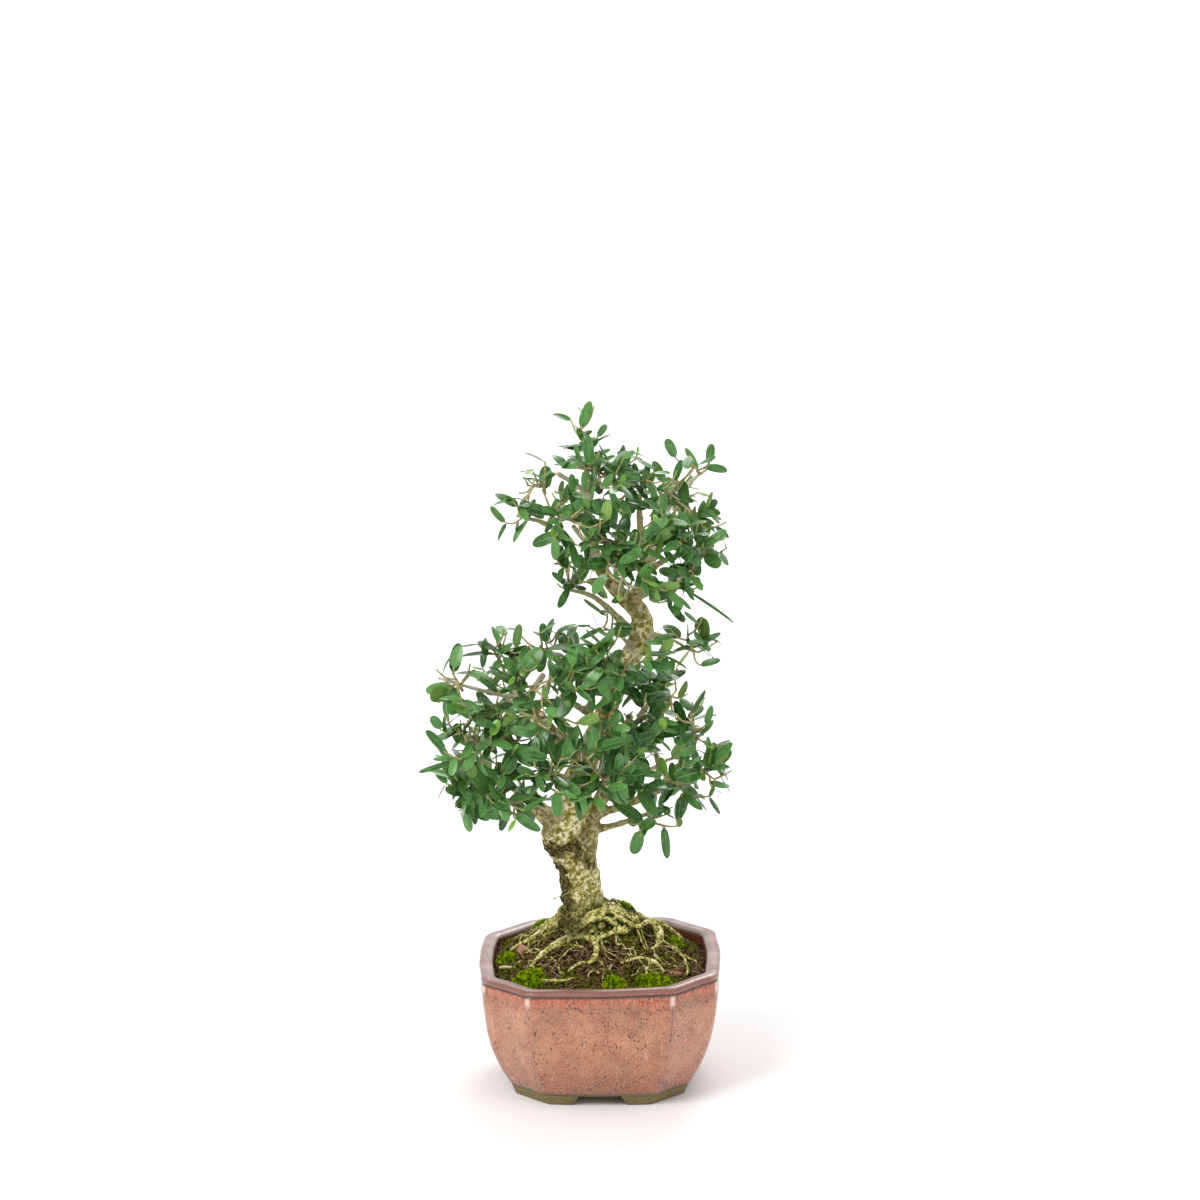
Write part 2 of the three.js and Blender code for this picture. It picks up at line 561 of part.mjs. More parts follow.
// Single leaves longer than the rest, from the stem to the leaf's tip.
const LONE_LEAVES = {
  apex: { from: [-12, 0, 413], to: [-6, -1, 430], wide: 0.42 },
  left_outer: { from: [-84, -63, 223], to: [-110, -66, 217], wide: 0.2 },
  right_droop: { from: [51, -26, 319], to: [82, -30, 300], wide: 0.07 },
  right_middle: { from: [66, -23, 208], to: [80, -26, 224], wide: 0.36 },
  ringed_stub: { from: [-13, -63, 245], to: [-23, -66, 222], wide: 0.34 },
  neck_left: { from: [2, -16, 293], to: [-13, -20, 287], wide: 0.28 },
  top_left: { from: [-33, -4, 280], to: [-35, -5, 293], wide: 0.45 },
};

// A repeatable number from 0 to 1 for each leaf or sprig.
function chance(seed) {
  const wave = Math.sin(seed * 12.9898 + 4.1414) * 43758.5453;
  return wave - Math.floor(wave);
}

// Two directions square to a stem, turned round it by an angle.
function across(tangent, angle) {
  const level = new THREE.Vector3(-tangent.y, tangent.x, 0);
  if (level.lengthSq() < 0.01) level.set(1, 0, 0);
  level.normalize();
  const rise = tangent.clone().cross(level).normalize();
  const side = level.multiplyScalar(Math.cos(angle)).addScaledVector(rise, Math.sin(angle));
  return side.normalize();
}

// Leaf sites of one stem: pairs along its outer part, each pair a quarter turn from the last.
function leafSites(curve, from, seed, size) {
  const length = curve.getLength();
  const pairs = Math.max(2, Math.round((length * (1 - from)) / LEAF.spacing) + 1);
  const sites = [];
  for (let pair = 0; pair < pairs; pair += 1) {
    const along = THREE.MathUtils.lerp(from, 0.96, pair / (pairs - 1));
    const tangent = curve.getTangentAt(along);
    const turn = (pair % 2) * (Math.PI / 2) + 2 * chance(seed) * Math.PI;
    for (let half = 0; half < 2; half += 1) {
      const key = seed + pair * 7 + half * 3;
      const base = curve.getPointAt(along + half * 0.02);
      const side = across(tangent, turn + half * Math.PI + 0.5 * (chance(key) - 0.5));
      const spread = THREE.MathUtils.degToRad(66 - 30 * (pair / pairs) + 16 * (chance(key + 1) - 0.5));
      const midrib = tangent.clone().multiplyScalar(Math.cos(spread))
        .addScaledVector(side, Math.sin(spread));
      midrib.z -= 0.1;
      midrib.normalize();
      const face = tangent.clone().add(new THREE.Vector3(0, 0, 0.8));
      face.addScaledVector(midrib, -face.dot(midrib)).normalize();
      const middle = 1 - Math.abs(along - 0.55);
      const reach = THREE.MathUtils.lerp(LEAF.shortest, LEAF.longest, chance(key + 2) * middle);
      sites.push({ base, midrib, face, length: reach * size });
    }
  }
  return sites;
}

// Side sprigs leave a stem low down and turn upwards.
function sprigCurves(curve, seed, count) {
  const curves = [];
  for (let index = 0; index < count; index += 1) {
    const along = 0.3 + 0.32 * index;
    const base = curve.getPointAt(along);
    const tangent = curve.getTangentAt(along);
    const side = across(tangent, 2 * Math.PI * (chance(seed + 50 + index) * 0.3 + index * 0.45));
    const reach = TWIG.sprig * (0.75 + 0.5 * chance(seed + 60 + index));
    const bend = base.clone().addScaledVector(side, reach * 0.45).addScaledVector(tangent, reach * 0.3);
    const tip = base.clone().addScaledVector(side, reach * 0.75).addScaledVector(tangent, reach * 0.65);
    tip.z += reach * 0.2;
    curves.push(new THREE.CatmullRomCurve3([base, bend, tip]));
  }
  return curves;
}

// The site of a single leaf that grows from a stem's end, rooted a little way down the stem.
function loneSite({ from, to, wide }) {
  const base = vector(from);
  const midrib = vector(to).sub(base);
  const length = midrib.length();
  midrib.normalize();
  const face = LEAF_FACING.clone().addScaledVector(midrib, -LEAF_FACING.dot(midrib)).normalize();
  return { base: base.addScaledVector(midrib, -LEAF.root), midrib, face, length: length + LEAF.root, wide };
}

// A folded leaf: the midrib is the low edge and the two sides stand up from it.
function leafSolid({ base, midrib, face, length, wide = LEAF.widthRatio }) {
  const side = midrib.clone().cross(face).normalize();
  const half = (length * wide) / 2;
  const middle = base.clone().addScaledVector(midrib, length * 0.5).addScaledVector(face, LEAF.fold);
  const corners = [
    base,
    middle.clone().addScaledVector(side, half),
    base.clone().addScaledVector(midrib, length),
    middle.clone().addScaledVector(side, -half),
  ];
  const geometry = new THREE.BufferGeometry();
  const points = corners.flatMap((corner) => corner.toArray());
  geometry.setAttribute('position', new THREE.Float32BufferAttribute(points, 3));
  geometry.setIndex([0, 1, 3, 1, 2, 3, 0, 2, 1, 0, 3, 2]);
  return toSolid(geometry);
}

function stemSolid(curve, base, tip) {
  const route = [0, 0.5, 1].map((along) => [
    ...curve.getPoint(along).toArray(),
    THREE.MathUtils.lerp(base, tip, along),
  ]);
  return limb(route, 3);
}

// The boxes of two solids come within a gap of each other.
function boxesNear(one, other, gap) {
  const [a, b] = [one.boundingBox(), other.boundingBox()];
  return [0, 1, 2].every((axis) => a.min[axis] - gap < b.max[axis] && b.min[axis] - gap < a.max[axis]);
}

function isClear(solid, others) {
  return others.every((other) => !boxesNear(solid, other, GAP) || solid.minGap(other, 1) >= GAP);
}

// How many corners of a solid fall so close to another that rounding would run them into one.
function closeCorners(solid) {
  const geometry = toGeometry(solid).deleteAttribute('normal');
  const corners = geometry.attributes.position.count;
  return corners - mergeVertices(geometry, CORNER_SPACING).attributes.position.count;
}

// One solid joined to another, or null where that would bring corners too close together.
function joinCleanly(body, solid) {
  const grown = body.add(solid);
  return closeCorners(grown) > closeCorners(body) ? null : grown;
}

// Every stem is placed first. A sprig or a leaf grows only where it stays clear of the
// wood and of every other shoot.
function makeShoots(wood, thickWood) {
  const shoots = Object.entries(SHOOTS).map(([name, routes], index) => {
    const curves = routes.map((route) => new THREE.CatmullRomCurve3(route.map(vector)));
    const stems = curves.map((curve) => stemSolid(curve, TWIG.base, TWIG.tip));
    return { name, seed: 100 * index + 11, curves, body: largest(join(stems).subtract(thickWood)) };
  });
  const clearOf = (shoot, solid) => isClear(solid, [
    wood,
    ...shoots.filter((other) => other !== shoot).map((other) => other.body),
  ]);
  for (const shoot of shoots) {
    shoot.sites = LONE_LEAVES[shoot.name] ? [loneSite(LONE_LEAVES[shoot.name])] : [];
    shoot.curves.forEach((curve, stem) => {
      const seed = shoot.seed + 31 * stem;
      shoot.sites.push(...leafSites(curve, 0.25, seed, 1).filter((_, leaf) => leaf % 4 < 2));
      sprigCurves(curve, seed, 1).forEach((sprig) => {
        const solid = stemSolid(sprig, TWIG.base * 0.8, TWIG.tip);
        const grown = clearOf(shoot, solid) && joinCleanly(shoot.body, solid);
        if (!grown) return;
        shoot.body = grown;
        shoot.sites.push(...leafSites(sprig, 0.35, seed + 5, 0.85).filter((_, leaf) => leaf % 4 === 0));
      });
    });
  }
  for (const shoot of shoots) {
    for (const site of shoot.sites) {
      const leaf = leafSolid(site);
      if (clearOf(shoot, leaf)) shoot.body = joinCleanly(shoot.body, leaf) || shoot.body;
    }
    shoot.body = largest(shoot.body);
  }
  return shoots;
}

// ---------------------------------------------------------------- moss and litter

// Cushions of moss on the soil: centre, half width, half depth and height.
const MOSS = {
  front_left: { x: -43, y: -36, wide: 10, deep: 8, tall: 6 },
  left: { x: -58, y: -1, wide: 5, deep: 5, tall: 4 },
  back_left: { x: -33, y: 55, wide: 9, deep: 6, tall: 5 },
  front_right: { x: 33, y: -42, wide: 11, deep: 8, tall: 5 },
  front_middle: { x: 9, y: -46, wide: 6, deep: 5, tall: 4 },
  right: { x: 47, y: 13, wide: 4, deep: 4, tall: 4 },
  mound: { x: 13, y: 26, wide: 9, deep: 7, tall: 7 },
};

function ellipse(x, y, wide, deep, z) {
  return Array.from({ length: 10 }, (_, side) => {
    const angle = (side / 10) * 2 * Math.PI;
    return new THREE.Vector3(x + wide * Math.cos(angle), y + deep * Math.sin(angle), z);
  });
}

function cushion({ x, y, wide, deep, tall }) {
  const ground = soilHeight(x, y);
  const rings = [
    [1, -4],
    [1, tall * 0.25],
    [0.85, tall * 0.62],
    [0.55, tall * 0.9],
  ].map(([size, up]) => ellipse(x, y, wide * size, deep * size, ground + up));
  return loft(new THREE.Vector3(x, y, ground - 4), rings, new THREE.Vector3(x, y, ground + tall));
}

// A curled dead leaf, a chip of bark and a bit of pale twig lie on the soil.
function deadLeaf() {
  const route = [[-51, 9, 81.5, 1.2], [-49, 5, 80.5, 3.2], [-47, 0, 80, 3.4], [-46, -7, 79, 0.6]];
  return limb(route, 6);
}

function barkChip() {
  const geometry = new THREE.BoxGeometry(10, 5, 3);
  geometry.rotateX(0.15);
  geometry.rotateZ(-0.4);
  geometry.translate(46, -27, soilHeight(46, -27) + 1);
  return toSolid(geometry);
}

function litterTwig() {
  return limb([[-62, -12, 74.6, 0.9], [-56, -13, 75.3, 0.8], [-50, -15, 76, 0.6]], 5);
}

// ---------------------------------------------------------------- the whole bonsai

const group = new THREE.Group();
group.name = 'olive_bonsai';

function addPiece(name, solid, colour, roughness, metalness = 0) {
  const material = new THREE.MeshStandardMaterial({ color: colour, roughness, metalness });
  const mesh = new THREE.Mesh(toGeometry(solid), material);
  mesh.name = name;
  group.add(mesh);
}

const wood = makeWood();
const thickWood = makeWood(GAP).add(wood);
const raisedSoil = soilBody(GAP);
const screenPocket = disc(SCREEN.radius + GAP, 0, FLOOR_TOP + 2 * GAP + SCREEN.thickness);
const soil = largest(soilBody().subtract(thickWood).subtract(screenPocket).subtract(clipWire(GAP)));
const onSoil = (solid) => largest(solid.subtract(raisedSoil).subtract(thickWood));

addPiece('pot', makePot(), colours.glaze, 0.35);
addPiece('drain_screen', makeScreen(), colours.mesh, 0.6);
addPiece('screen_clip', clipWire(), colours.wire, 0.35, 1);
addPiece('soil', soil, colours.soil, 0.95);
addPiece('wood', wood, colours.bark, 0.85);
for (const [place, size] of Object.entries(MOSS)) {
  addPiece(`moss_${place}`, onSoil(cushion(size)), colours.moss, 0.95);
}
addPiece('dead_leaf', onSoil(deadLeaf()), colours.litter, 0.8);
addPiece('bark_chip', onSoil(barkChip()), colours.litter, 0.9);
addPiece('litter_twig', onSoil(litterTwig()), colours.litter, 0.85);
for (const { name, body } of makeShoots(wood, thickWood)) {
  addPiece(`shoot_${name}`, body, colours.leaf, 0.5);
}

group.position.set(-OUTLINE_MIDDLE.x, -OUTLINE_MIDDLE.y, 0);
group.updateMatrixWorld(true);

export default group;
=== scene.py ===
"""The visible pieces of a potted olive bonsai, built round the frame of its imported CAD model."""

import math
from functools import partial

import bmesh
import bpy
import numpy as np
from mathutils import Matrix, Vector, kdtree, noise


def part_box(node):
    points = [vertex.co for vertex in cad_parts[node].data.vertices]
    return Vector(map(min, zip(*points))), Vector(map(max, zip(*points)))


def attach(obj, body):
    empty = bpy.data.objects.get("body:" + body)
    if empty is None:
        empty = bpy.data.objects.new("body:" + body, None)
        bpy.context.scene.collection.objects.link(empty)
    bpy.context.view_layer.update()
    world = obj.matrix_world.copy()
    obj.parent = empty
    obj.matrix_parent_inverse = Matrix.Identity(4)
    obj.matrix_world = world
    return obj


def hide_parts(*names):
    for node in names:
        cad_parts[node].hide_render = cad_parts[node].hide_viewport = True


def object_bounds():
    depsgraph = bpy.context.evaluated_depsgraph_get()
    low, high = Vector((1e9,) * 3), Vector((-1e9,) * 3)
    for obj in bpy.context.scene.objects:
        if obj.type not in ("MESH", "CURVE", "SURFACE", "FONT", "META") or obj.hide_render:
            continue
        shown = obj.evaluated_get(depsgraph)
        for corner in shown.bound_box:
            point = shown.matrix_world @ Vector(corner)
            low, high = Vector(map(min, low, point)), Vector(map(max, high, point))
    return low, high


bl_info = {
    "name": "Olive Bonsai",
    "version": (1, 0, 0),
    "blender": (4, 5, 0),
    "location": "View3D > Sidebar > Bonsai",
    "description": "Builds a potted olive bonsai piece by piece on its CAD frame",
    "category": "Add Mesh",
}

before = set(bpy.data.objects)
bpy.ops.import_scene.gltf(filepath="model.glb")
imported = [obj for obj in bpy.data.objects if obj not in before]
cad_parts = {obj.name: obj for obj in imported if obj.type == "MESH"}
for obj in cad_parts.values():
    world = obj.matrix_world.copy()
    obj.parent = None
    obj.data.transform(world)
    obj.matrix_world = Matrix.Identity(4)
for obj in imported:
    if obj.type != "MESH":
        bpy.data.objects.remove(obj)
CAD_LOW, CAD_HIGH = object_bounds()

MM = 0.001
POT_LOW, POT_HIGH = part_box("pot")
# All shapes are laid out in millimetres from the middle of the pot, on the bench.
POT_MIDDLE = np.array([(POT_LOW.x + POT_HIGH.x) / 2, (POT_LOW.y + POT_HIGH.y) / 2, 0.0])


def linear(code):
    """An sRGB hex colour as linear red, green, blue and alpha."""
    shares = [int(code[i : i + 2], 16) / 255 for i in (0, 2, 4)]
    return (
        *(s / 12.92 if s <= 0.04045 else ((s + 0.055) / 1.055) ** 2.4 for s in shares),
        1.0,
    )


# ------------------------------------------------------------------ routes of the wood

# Points [x, y, z, radius] in millimetres, from where a limb leaves its parent to its end.
TRUNK = [(-6, 8, 84, 16.6), (-8, 8, 90, 16), (-10, 9, 107, 13.8), (-12, 9, 124, 12),
    (-15, 6, 138, 12.3), (-21, 2, 149, 12), (-25, -2, 157, 10.8), (-21, -5, 167, 10.4),
    (-15, -8, 180, 10), (-14, -8, 192, 9), (-9, -4, 205, 8), (0, 3, 224, 7.2), (8, 7, 244, 6.5),
    (18, 8, 267, 6.3), (26, 8, 283, 7), (24, 6, 296, 6.2), (12, 4, 309, 4.8), (3, 2, 321, 4.1),
    (-3, 1, 334, 3.6), (-7, 4, 352, 3), (-7, 5, 370, 2.4), (-8, 4, 392, 1.1)]

LIMBS = {
    "second_stem": [(-12, 4, 136, 7.4), (-9, 6, 147, 6.4), (-5, 10, 165, 5.2), (2, 14, 179, 4.6),
        (10, 18, 202, 3.5), (19, 24, 227, 2.2)],
    "right_low": [(-2, 9, 158, 2.4), (4, 6, 160, 2.2), (12, 0, 164, 2), (21, -6, 169, 1.7),
        (32, -12, 175, 1.3)],
    "right_mid": [(1, 12, 168, 2.6), (14, 4, 174, 2.3), (31, -6, 185, 2.5), (42, -10, 191, 2),
        (53, -12, 197, 1.4), (65, -12, 202, 1)],
    "right_riser": [(34, -7, 187, 2.2), (36, -8, 202, 1.9), (33, -8, 216, 1.5)],
    "right_high": [(10, 18, 202, 2.4), (20, 4, 208, 2.1), (30, -6, 215, 1.9), (44, -12, 227, 1.6),
        (66, -15, 228, 1.2)],
    "right_crest": [(13, 20, 211, 2.2), (22, 14, 224, 2), (29, 8, 237, 1.6), (31, 4, 246, 1.1)],
    "left_low": [(-23, -2, 161, 4.5), (-33, -6, 168, 3.4), (-46, -14, 185, 2.8),
        (-54, -18, 193, 2.5), (-73, -26, 201, 1.8)],
    "left_thin": [(-25, -8, 174, 1.8), (-40, -20, 184, 1.2), (-51, -26, 203, 1),
        (-53, -26, 225, 0.8)],
    "left_limb": [(-9, -5, 206, 5), (-21, -12, 220, 4.2), (-33, -18, 232, 3.8),
        (-46, -20, 250, 3.2)],
    "left_crest": [(-45, -19, 248, 2), (-54, -10, 254, 1.4), (-61, -4, 269, 0.9)],
    "pale_twig": [(-44, -20, 249, 2), (-61, -28, 254, 1.5), (-78, -34, 260, 1.2),
        (-98, -37, 267, 1)],
    "raised_stub": [(-44, -20, 249, 2.4), (-40, -22, 256, 2.2), (-34, -25, 266, 1.9)],
    "ringed_stub": [(-32, -18, 232, 2.4), (-34, -40, 243, 2.1), (-35, -56, 250, 1.9)],
    "left_front": [(-26, -14, 225, 3), (-42, -26, 232, 2.4), (-59, -44, 232, 2),
        (-73, -54, 218, 1.7)],
    "top_left": [(-39, -18, 240, 2), (-32, -6, 251, 1.7), (-30, 0, 262, 1.3), (-31, 1, 270, 1)],
    "centre_front": [(3, 4, 225, 3), (-1, -10, 230, 2.6), (-9, -26, 243, 2.2),
        (-24, -40, 256, 1.8)],
    "centre_twig": [(-9, -26, 243, 1.6), (-5, -30, 252, 1.2), (2, -35, 265, 0.9)],
    "centre_right": [(7, 6, 238, 2), (7, -20, 248, 1.6), (13, -34, 273, 1.3)],
    "front_low": [(-15, -10, 188, 2.8), (-17, -30, 199, 2.2), (-27, -46, 210, 1.2)],
    "front_right": [(-10, -6, 200, 2.6), (-5, -32, 204, 1.8), (1, -48, 212, 1.2)],
    "back_left": [(-12, -2, 200, 3.6), (-19, 25, 203, 3), (-31, 45, 208, 2.4), (-55, 60, 227, 1.2)],
    "back_right": [(10, 18, 200, 2.6), (20, 38, 205, 2.4), (37, 55, 225, 1.3)],
    "back_middle": [(-4, 2, 216, 3), (-5, 30, 217, 2.5), (-7, 52, 238, 1.3)],
    "back_low_left": [(-23, 2, 158, 3.4), (-34, 20, 168, 2.4), (-65, 40, 183, 1.2)],
    "back_low_right": [(2, 14, 177, 2.6), (14, 36, 178, 2.2), (42, 54, 189, 1.2)],
    "neck_right": [(25, 8, 283, 2), (38, 2, 283, 1.4), (58, -16, 277, 0.9)],
    "neck_left": [(20, 8, 272, 1.8), (15, 0, 281, 1.2), (7, -8, 290, 0.9)],
    "neck_stub": [(26, 7, 291, 4.6), (26, 1, 299, 3.4), (22, -4, 307, 2.6)],
    "upper_left_twig": [(22, 8, 281, 3), (12, 2, 293, 2.2), (-4, -4, 309, 1.7),
        (-21, -12, 316, 1.1)],
    "upper_left": [(0, 1, 327, 3.2), (-13, -8, 333, 2.8), (-25, -16, 352, 2), (-36, -22, 360, 1.5),
        (-44, -26, 363, 1)],
    "left_riser": [(-19, -12, 342, 1.6), (-26, -10, 355, 1.2), (-35, -6, 377, 0.8)],
    "right_stem": [(19, 5, 302, 4.2), (27, 10, 319, 3.2), (25, 9, 342, 2.5), (24, 5, 365, 1.8),
        (26, 3, 383, 1.3)],
    "right_reach": [(27, 10, 319, 2.7), (35, 14, 334, 2.3), (41, 12, 359, 1.8), (54, 4, 378, 1.4),
        (66, -2, 389, 1)],
    "right_droop": [(18, 5, 303, 2.4), (27, -8, 311, 1.7), (42, -18, 319, 1.4),
        (50, -22, 320, 1.1)],
    "right_arm": [(27, 10, 320, 2.4), (39, -2, 331, 1.9), (63, -22, 346, 1.5), (75, -30, 352, 1.3)],
    "dark_stub": [(25, 9, 338, 2), (24, -6, 350, 1.7), (25, -14, 361, 1.5)],
    "pale_stub": [(0, 1, 327, 2.4), (-7, -20, 344, 1.7), (-16, -42, 362, 1.5)],
    "crest_stub": [(-7, 5, 368, 2), (-12, -10, 378, 1.7), (-26, -26, 391, 1.5)],
    "upper_ring_stub": [(11, 4, 310, 2.8), (9, -14, 318, 2), (8, -26, 322, 1.7)],
    "upper_front": [(-1, 1, 330, 2), (6, -22, 341, 1.4), (10, -38, 349, 0.9)],
    "upper_back": [(4, 2, 320, 2.8), (0, 25, 325, 2.1), (-14, 42, 346, 1.1)],
    "upper_back_right": [(27, 10, 319, 2.6), (31, 30, 327, 2), (34, 44, 355, 1)],
}


ROOTS = {
    "crown": [(-7, 9, 101, 12.5), (4, 9, 99, 10.5), (15, 10, 97, 8), (25, 13, 92, 5.5)],
    "left": [(-20, 6, 104, 6), (-25, 8, 98.5, 4), (-30.5, 9, 94, 2.8), (-35.5, 16, 89, 2.2),
        (-41.5, 13, 86, 1.9), (-49, 12.5, 82, 1.6), (-56, 12, 78.5, 1.1)],
    "front": [(17.5, -1, 97, 2.6), (13.5, -5, 96.5, 2.8), (9.5, -6, 96, 2.3), (5, -8, 95.5, 2.2),
        (0.5, -10, 94, 2.1), (-3.5, -11, 93.5, 2.2), (-8.5, -10, 93.5, 2.2), (-13.5, -8, 93.5, 2.3),
        (-18.5, -7, 92.5, 2.3), (-23.5, -7, 90.5, 2.3), (-28.5, -9, 88, 2.2),
        (-33.5, -11.5, 85, 1.9), (-39, -16, 81.5, 1.6), (-43, -22, 78.5, 1.1)],
    "front_down": [(-3.5, -12, 93, 2), (-2, -17, 90, 2), (-2.5, -22, 87, 1.9), (-5, -27, 85, 1.6),
        (-7.5, -29.5, 83, 1)],
    "low_arch": [(-16.5, -9, 95.5, 1.9), (-13.5, -8, 99.5, 1.9), (-9.5, -7.5, 102.5, 2),
        (-4.5, -7.5, 104.5, 2.1), (1, -7, 105.5, 2.2), (6, -5.5, 103.5, 2), (10, -4, 100, 1.9),
        (12.5, -4, 96.5, 1.8)],
    "high_arch": [(-11, -6, 100.5, 1.7), (-8, -6, 106, 1.9), (-4.5, -6, 108.5, 2),
        (1, -5, 109.5, 2.1), (7, -3, 108.5, 2), (11.5, 0, 106.5, 2), (16.5, 3, 103.5, 1.9),
        (21.5, 4, 100, 1.6)],
    "right": [(7, 0, 107, 3), (10.5, -4, 106, 1.9), (13.5, -5, 104, 1.7), (18, -4, 101, 1.6),
        (22, -3, 98.5, 1.6), (25.5, 1, 97.5, 1.6), (28.5, 7, 98, 1.8), (31.5, 12, 96.5, 2.3),
        (35, 14, 93, 2.6), (36.5, 10, 90, 2.5), (36.5, 2, 88, 2.2), (35, -5, 86.5, 1.5),
        (31, -10, 86, 0.9)],
    "right_fork": [(30, 16, 96.5, 1.9), (34.5, 24, 93.5, 2), (38.5, 29, 90, 2), (43, 30, 86.5, 1.8),
        (47, 31, 83, 1.5), (51.5, 30, 80, 1)],
    "right_low": [(37, 4, 87.5, 1.5), (41, 4, 85.5, 1.2), (44.5, 4, 83, 1.2),
        (48.5, 2.5, 80.5, 1.2), (51.5, -1.5, 78.5, 1.1), (53, -11, 77, 1), (54, -20, 75.5, 0.9),
        (53, -27, 74, 0.7)],
    "right_front": [(12.5, -28, 83, 0.8), (16.5, -26, 84, 1.3), (21, -24, 84.5, 1.4),
        (26, -21, 84, 1.4), (30, -20, 82.5, 1.5), (34, -20.5, 81, 1.5), (37, -23, 79, 1.4),
        (39.5, -27, 77, 0.9)],
    "front_low": [(-2.5, -26.5, 84.5, 1), (-6, -28.5, 83.5, 1.2), (-10.5, -28.5, 83.5, 1.3),
        (-14, -29.5, 82.5, 1.4), (-17, -31, 81, 1.2), (-19.5, -33.5, 79.5, 0.9)],
    "front_edge": [(-13.5, -38, 77.5, 0.9), (-17.5, -39.5, 77, 1.2), (-22.5, -41, 76.5, 1.3),
        (-28, -41, 76, 1.3), (-33.5, -40, 75.5, 1.2), (-38.5, -35.5, 75, 0.8)],
    "front_end": [(32, -21.5, 81, 0.8), (29.5, -26.5, 80, 1), (28, -30, 79.5, 1),
        (29, -33, 78, 0.9), (30.5, -35, 77, 0.6)],
    "back_left": [(-14, 18, 104, 5), (-24, 26, 96, 3.2), (-33, 34, 88, 2.4), (-42, 42, 80, 1.4)],
    "back": [(-4, 22, 106, 5), (0, 34, 97, 3), (-2, 46, 88, 2.2), (-8, 56, 79, 1.2)],
    "back_right": [(8, 18, 104, 4.6), (20, 28, 97, 3), (28, 38, 89, 2.2), (34, 48, 80, 1.2)],
}

# Hair roots: one that crosses the trunk in the air, then those that lie on the mound.
HAIR_ROOTS = [
    [(-29, -8, 118, 0.3), (-22, -8.5, 121, 0.4), (-14, -9, 124, 0.45), (-8, -9, 123, 0.45),
        (1, -7, 120, 0.4), (8, -2, 112, 0.35)],
    [(22.5, -3, 98, 0.6), (24.5, -5, 93, 0.55), (26.5, -8, 89.5, 0.5), (28, -12, 86.5, 0.4)],
    [(25, 0, 97, 0.55), (27, -3, 92.5, 0.5), (28.5, -6, 88.5, 0.45), (29.5, -10, 85.5, 0.35)],
    [(21.5, -7, 90, 0.5), (19, -16, 88, 0.45), (17, -22, 86, 0.4), (13.5, -25, 84.5, 0.3)],
    [(-26.5, -11, 87, 0.4), (-23, -11, 88.5, 0.45), (-18, -12, 89.5, 0.45), (-13, -15.5, 90, 0.4),
        (-9, -19, 88.5, 0.3)],
    [(2, -40, 79, 0.6), (1, -45, 76.5, 0.7), (2, -49, 74.5, 0.4)],
    [(-2, -25, 85, 0.5), (0.5, -28.5, 83.5, 0.5), (2.5, -33, 81.5, 0.4), (2, -38, 79.5, 0.3)],
    [(-0.5, -37.5, 80, 0.5), (-3.5, -35, 80.5, 0.6), (-6.5, -36, 79.5, 0.6),
        (-7.5, -40, 77.5, 0.4)],
    [(52, 2, 78.5, 0.7), (56, 0.5, 76.5, 0.7), (60, -2, 75, 0.5)],
    [(24.5, -29, 80.5, 0.5), (22.5, -33, 78.5, 0.6), (19, -36, 77.5, 0.4)],
    [(-30, -16, 83, 0.5), (-27, -22, 82, 0.5), (-24.5, -31, 79.5, 0.4), (-21, -35.5, 78, 0.3)],
    [(-46, -0.5, 80.5, 0.5), (-41.5, -1.5, 83, 0.5), (-36.5, -8.5, 84, 0.5),
        (-32.5, -15, 82.5, 0.35)],
    [(7.5, -29, 83, 0.45), (5.5, -35, 81, 0.45), (8, -40, 78, 0.4), (6, -46, 76, 0.3)],
    [(6, 24, 100, 0.7), (8, 36, 92, 0.6), (4, 48, 84, 0.5), (6, 58, 76, 0.3)],
    [(-12, 26, 98, 0.7), (-16, 38, 90, 0.6), (-24, 46, 82, 0.5), (-26, 56, 75, 0.3)],
]

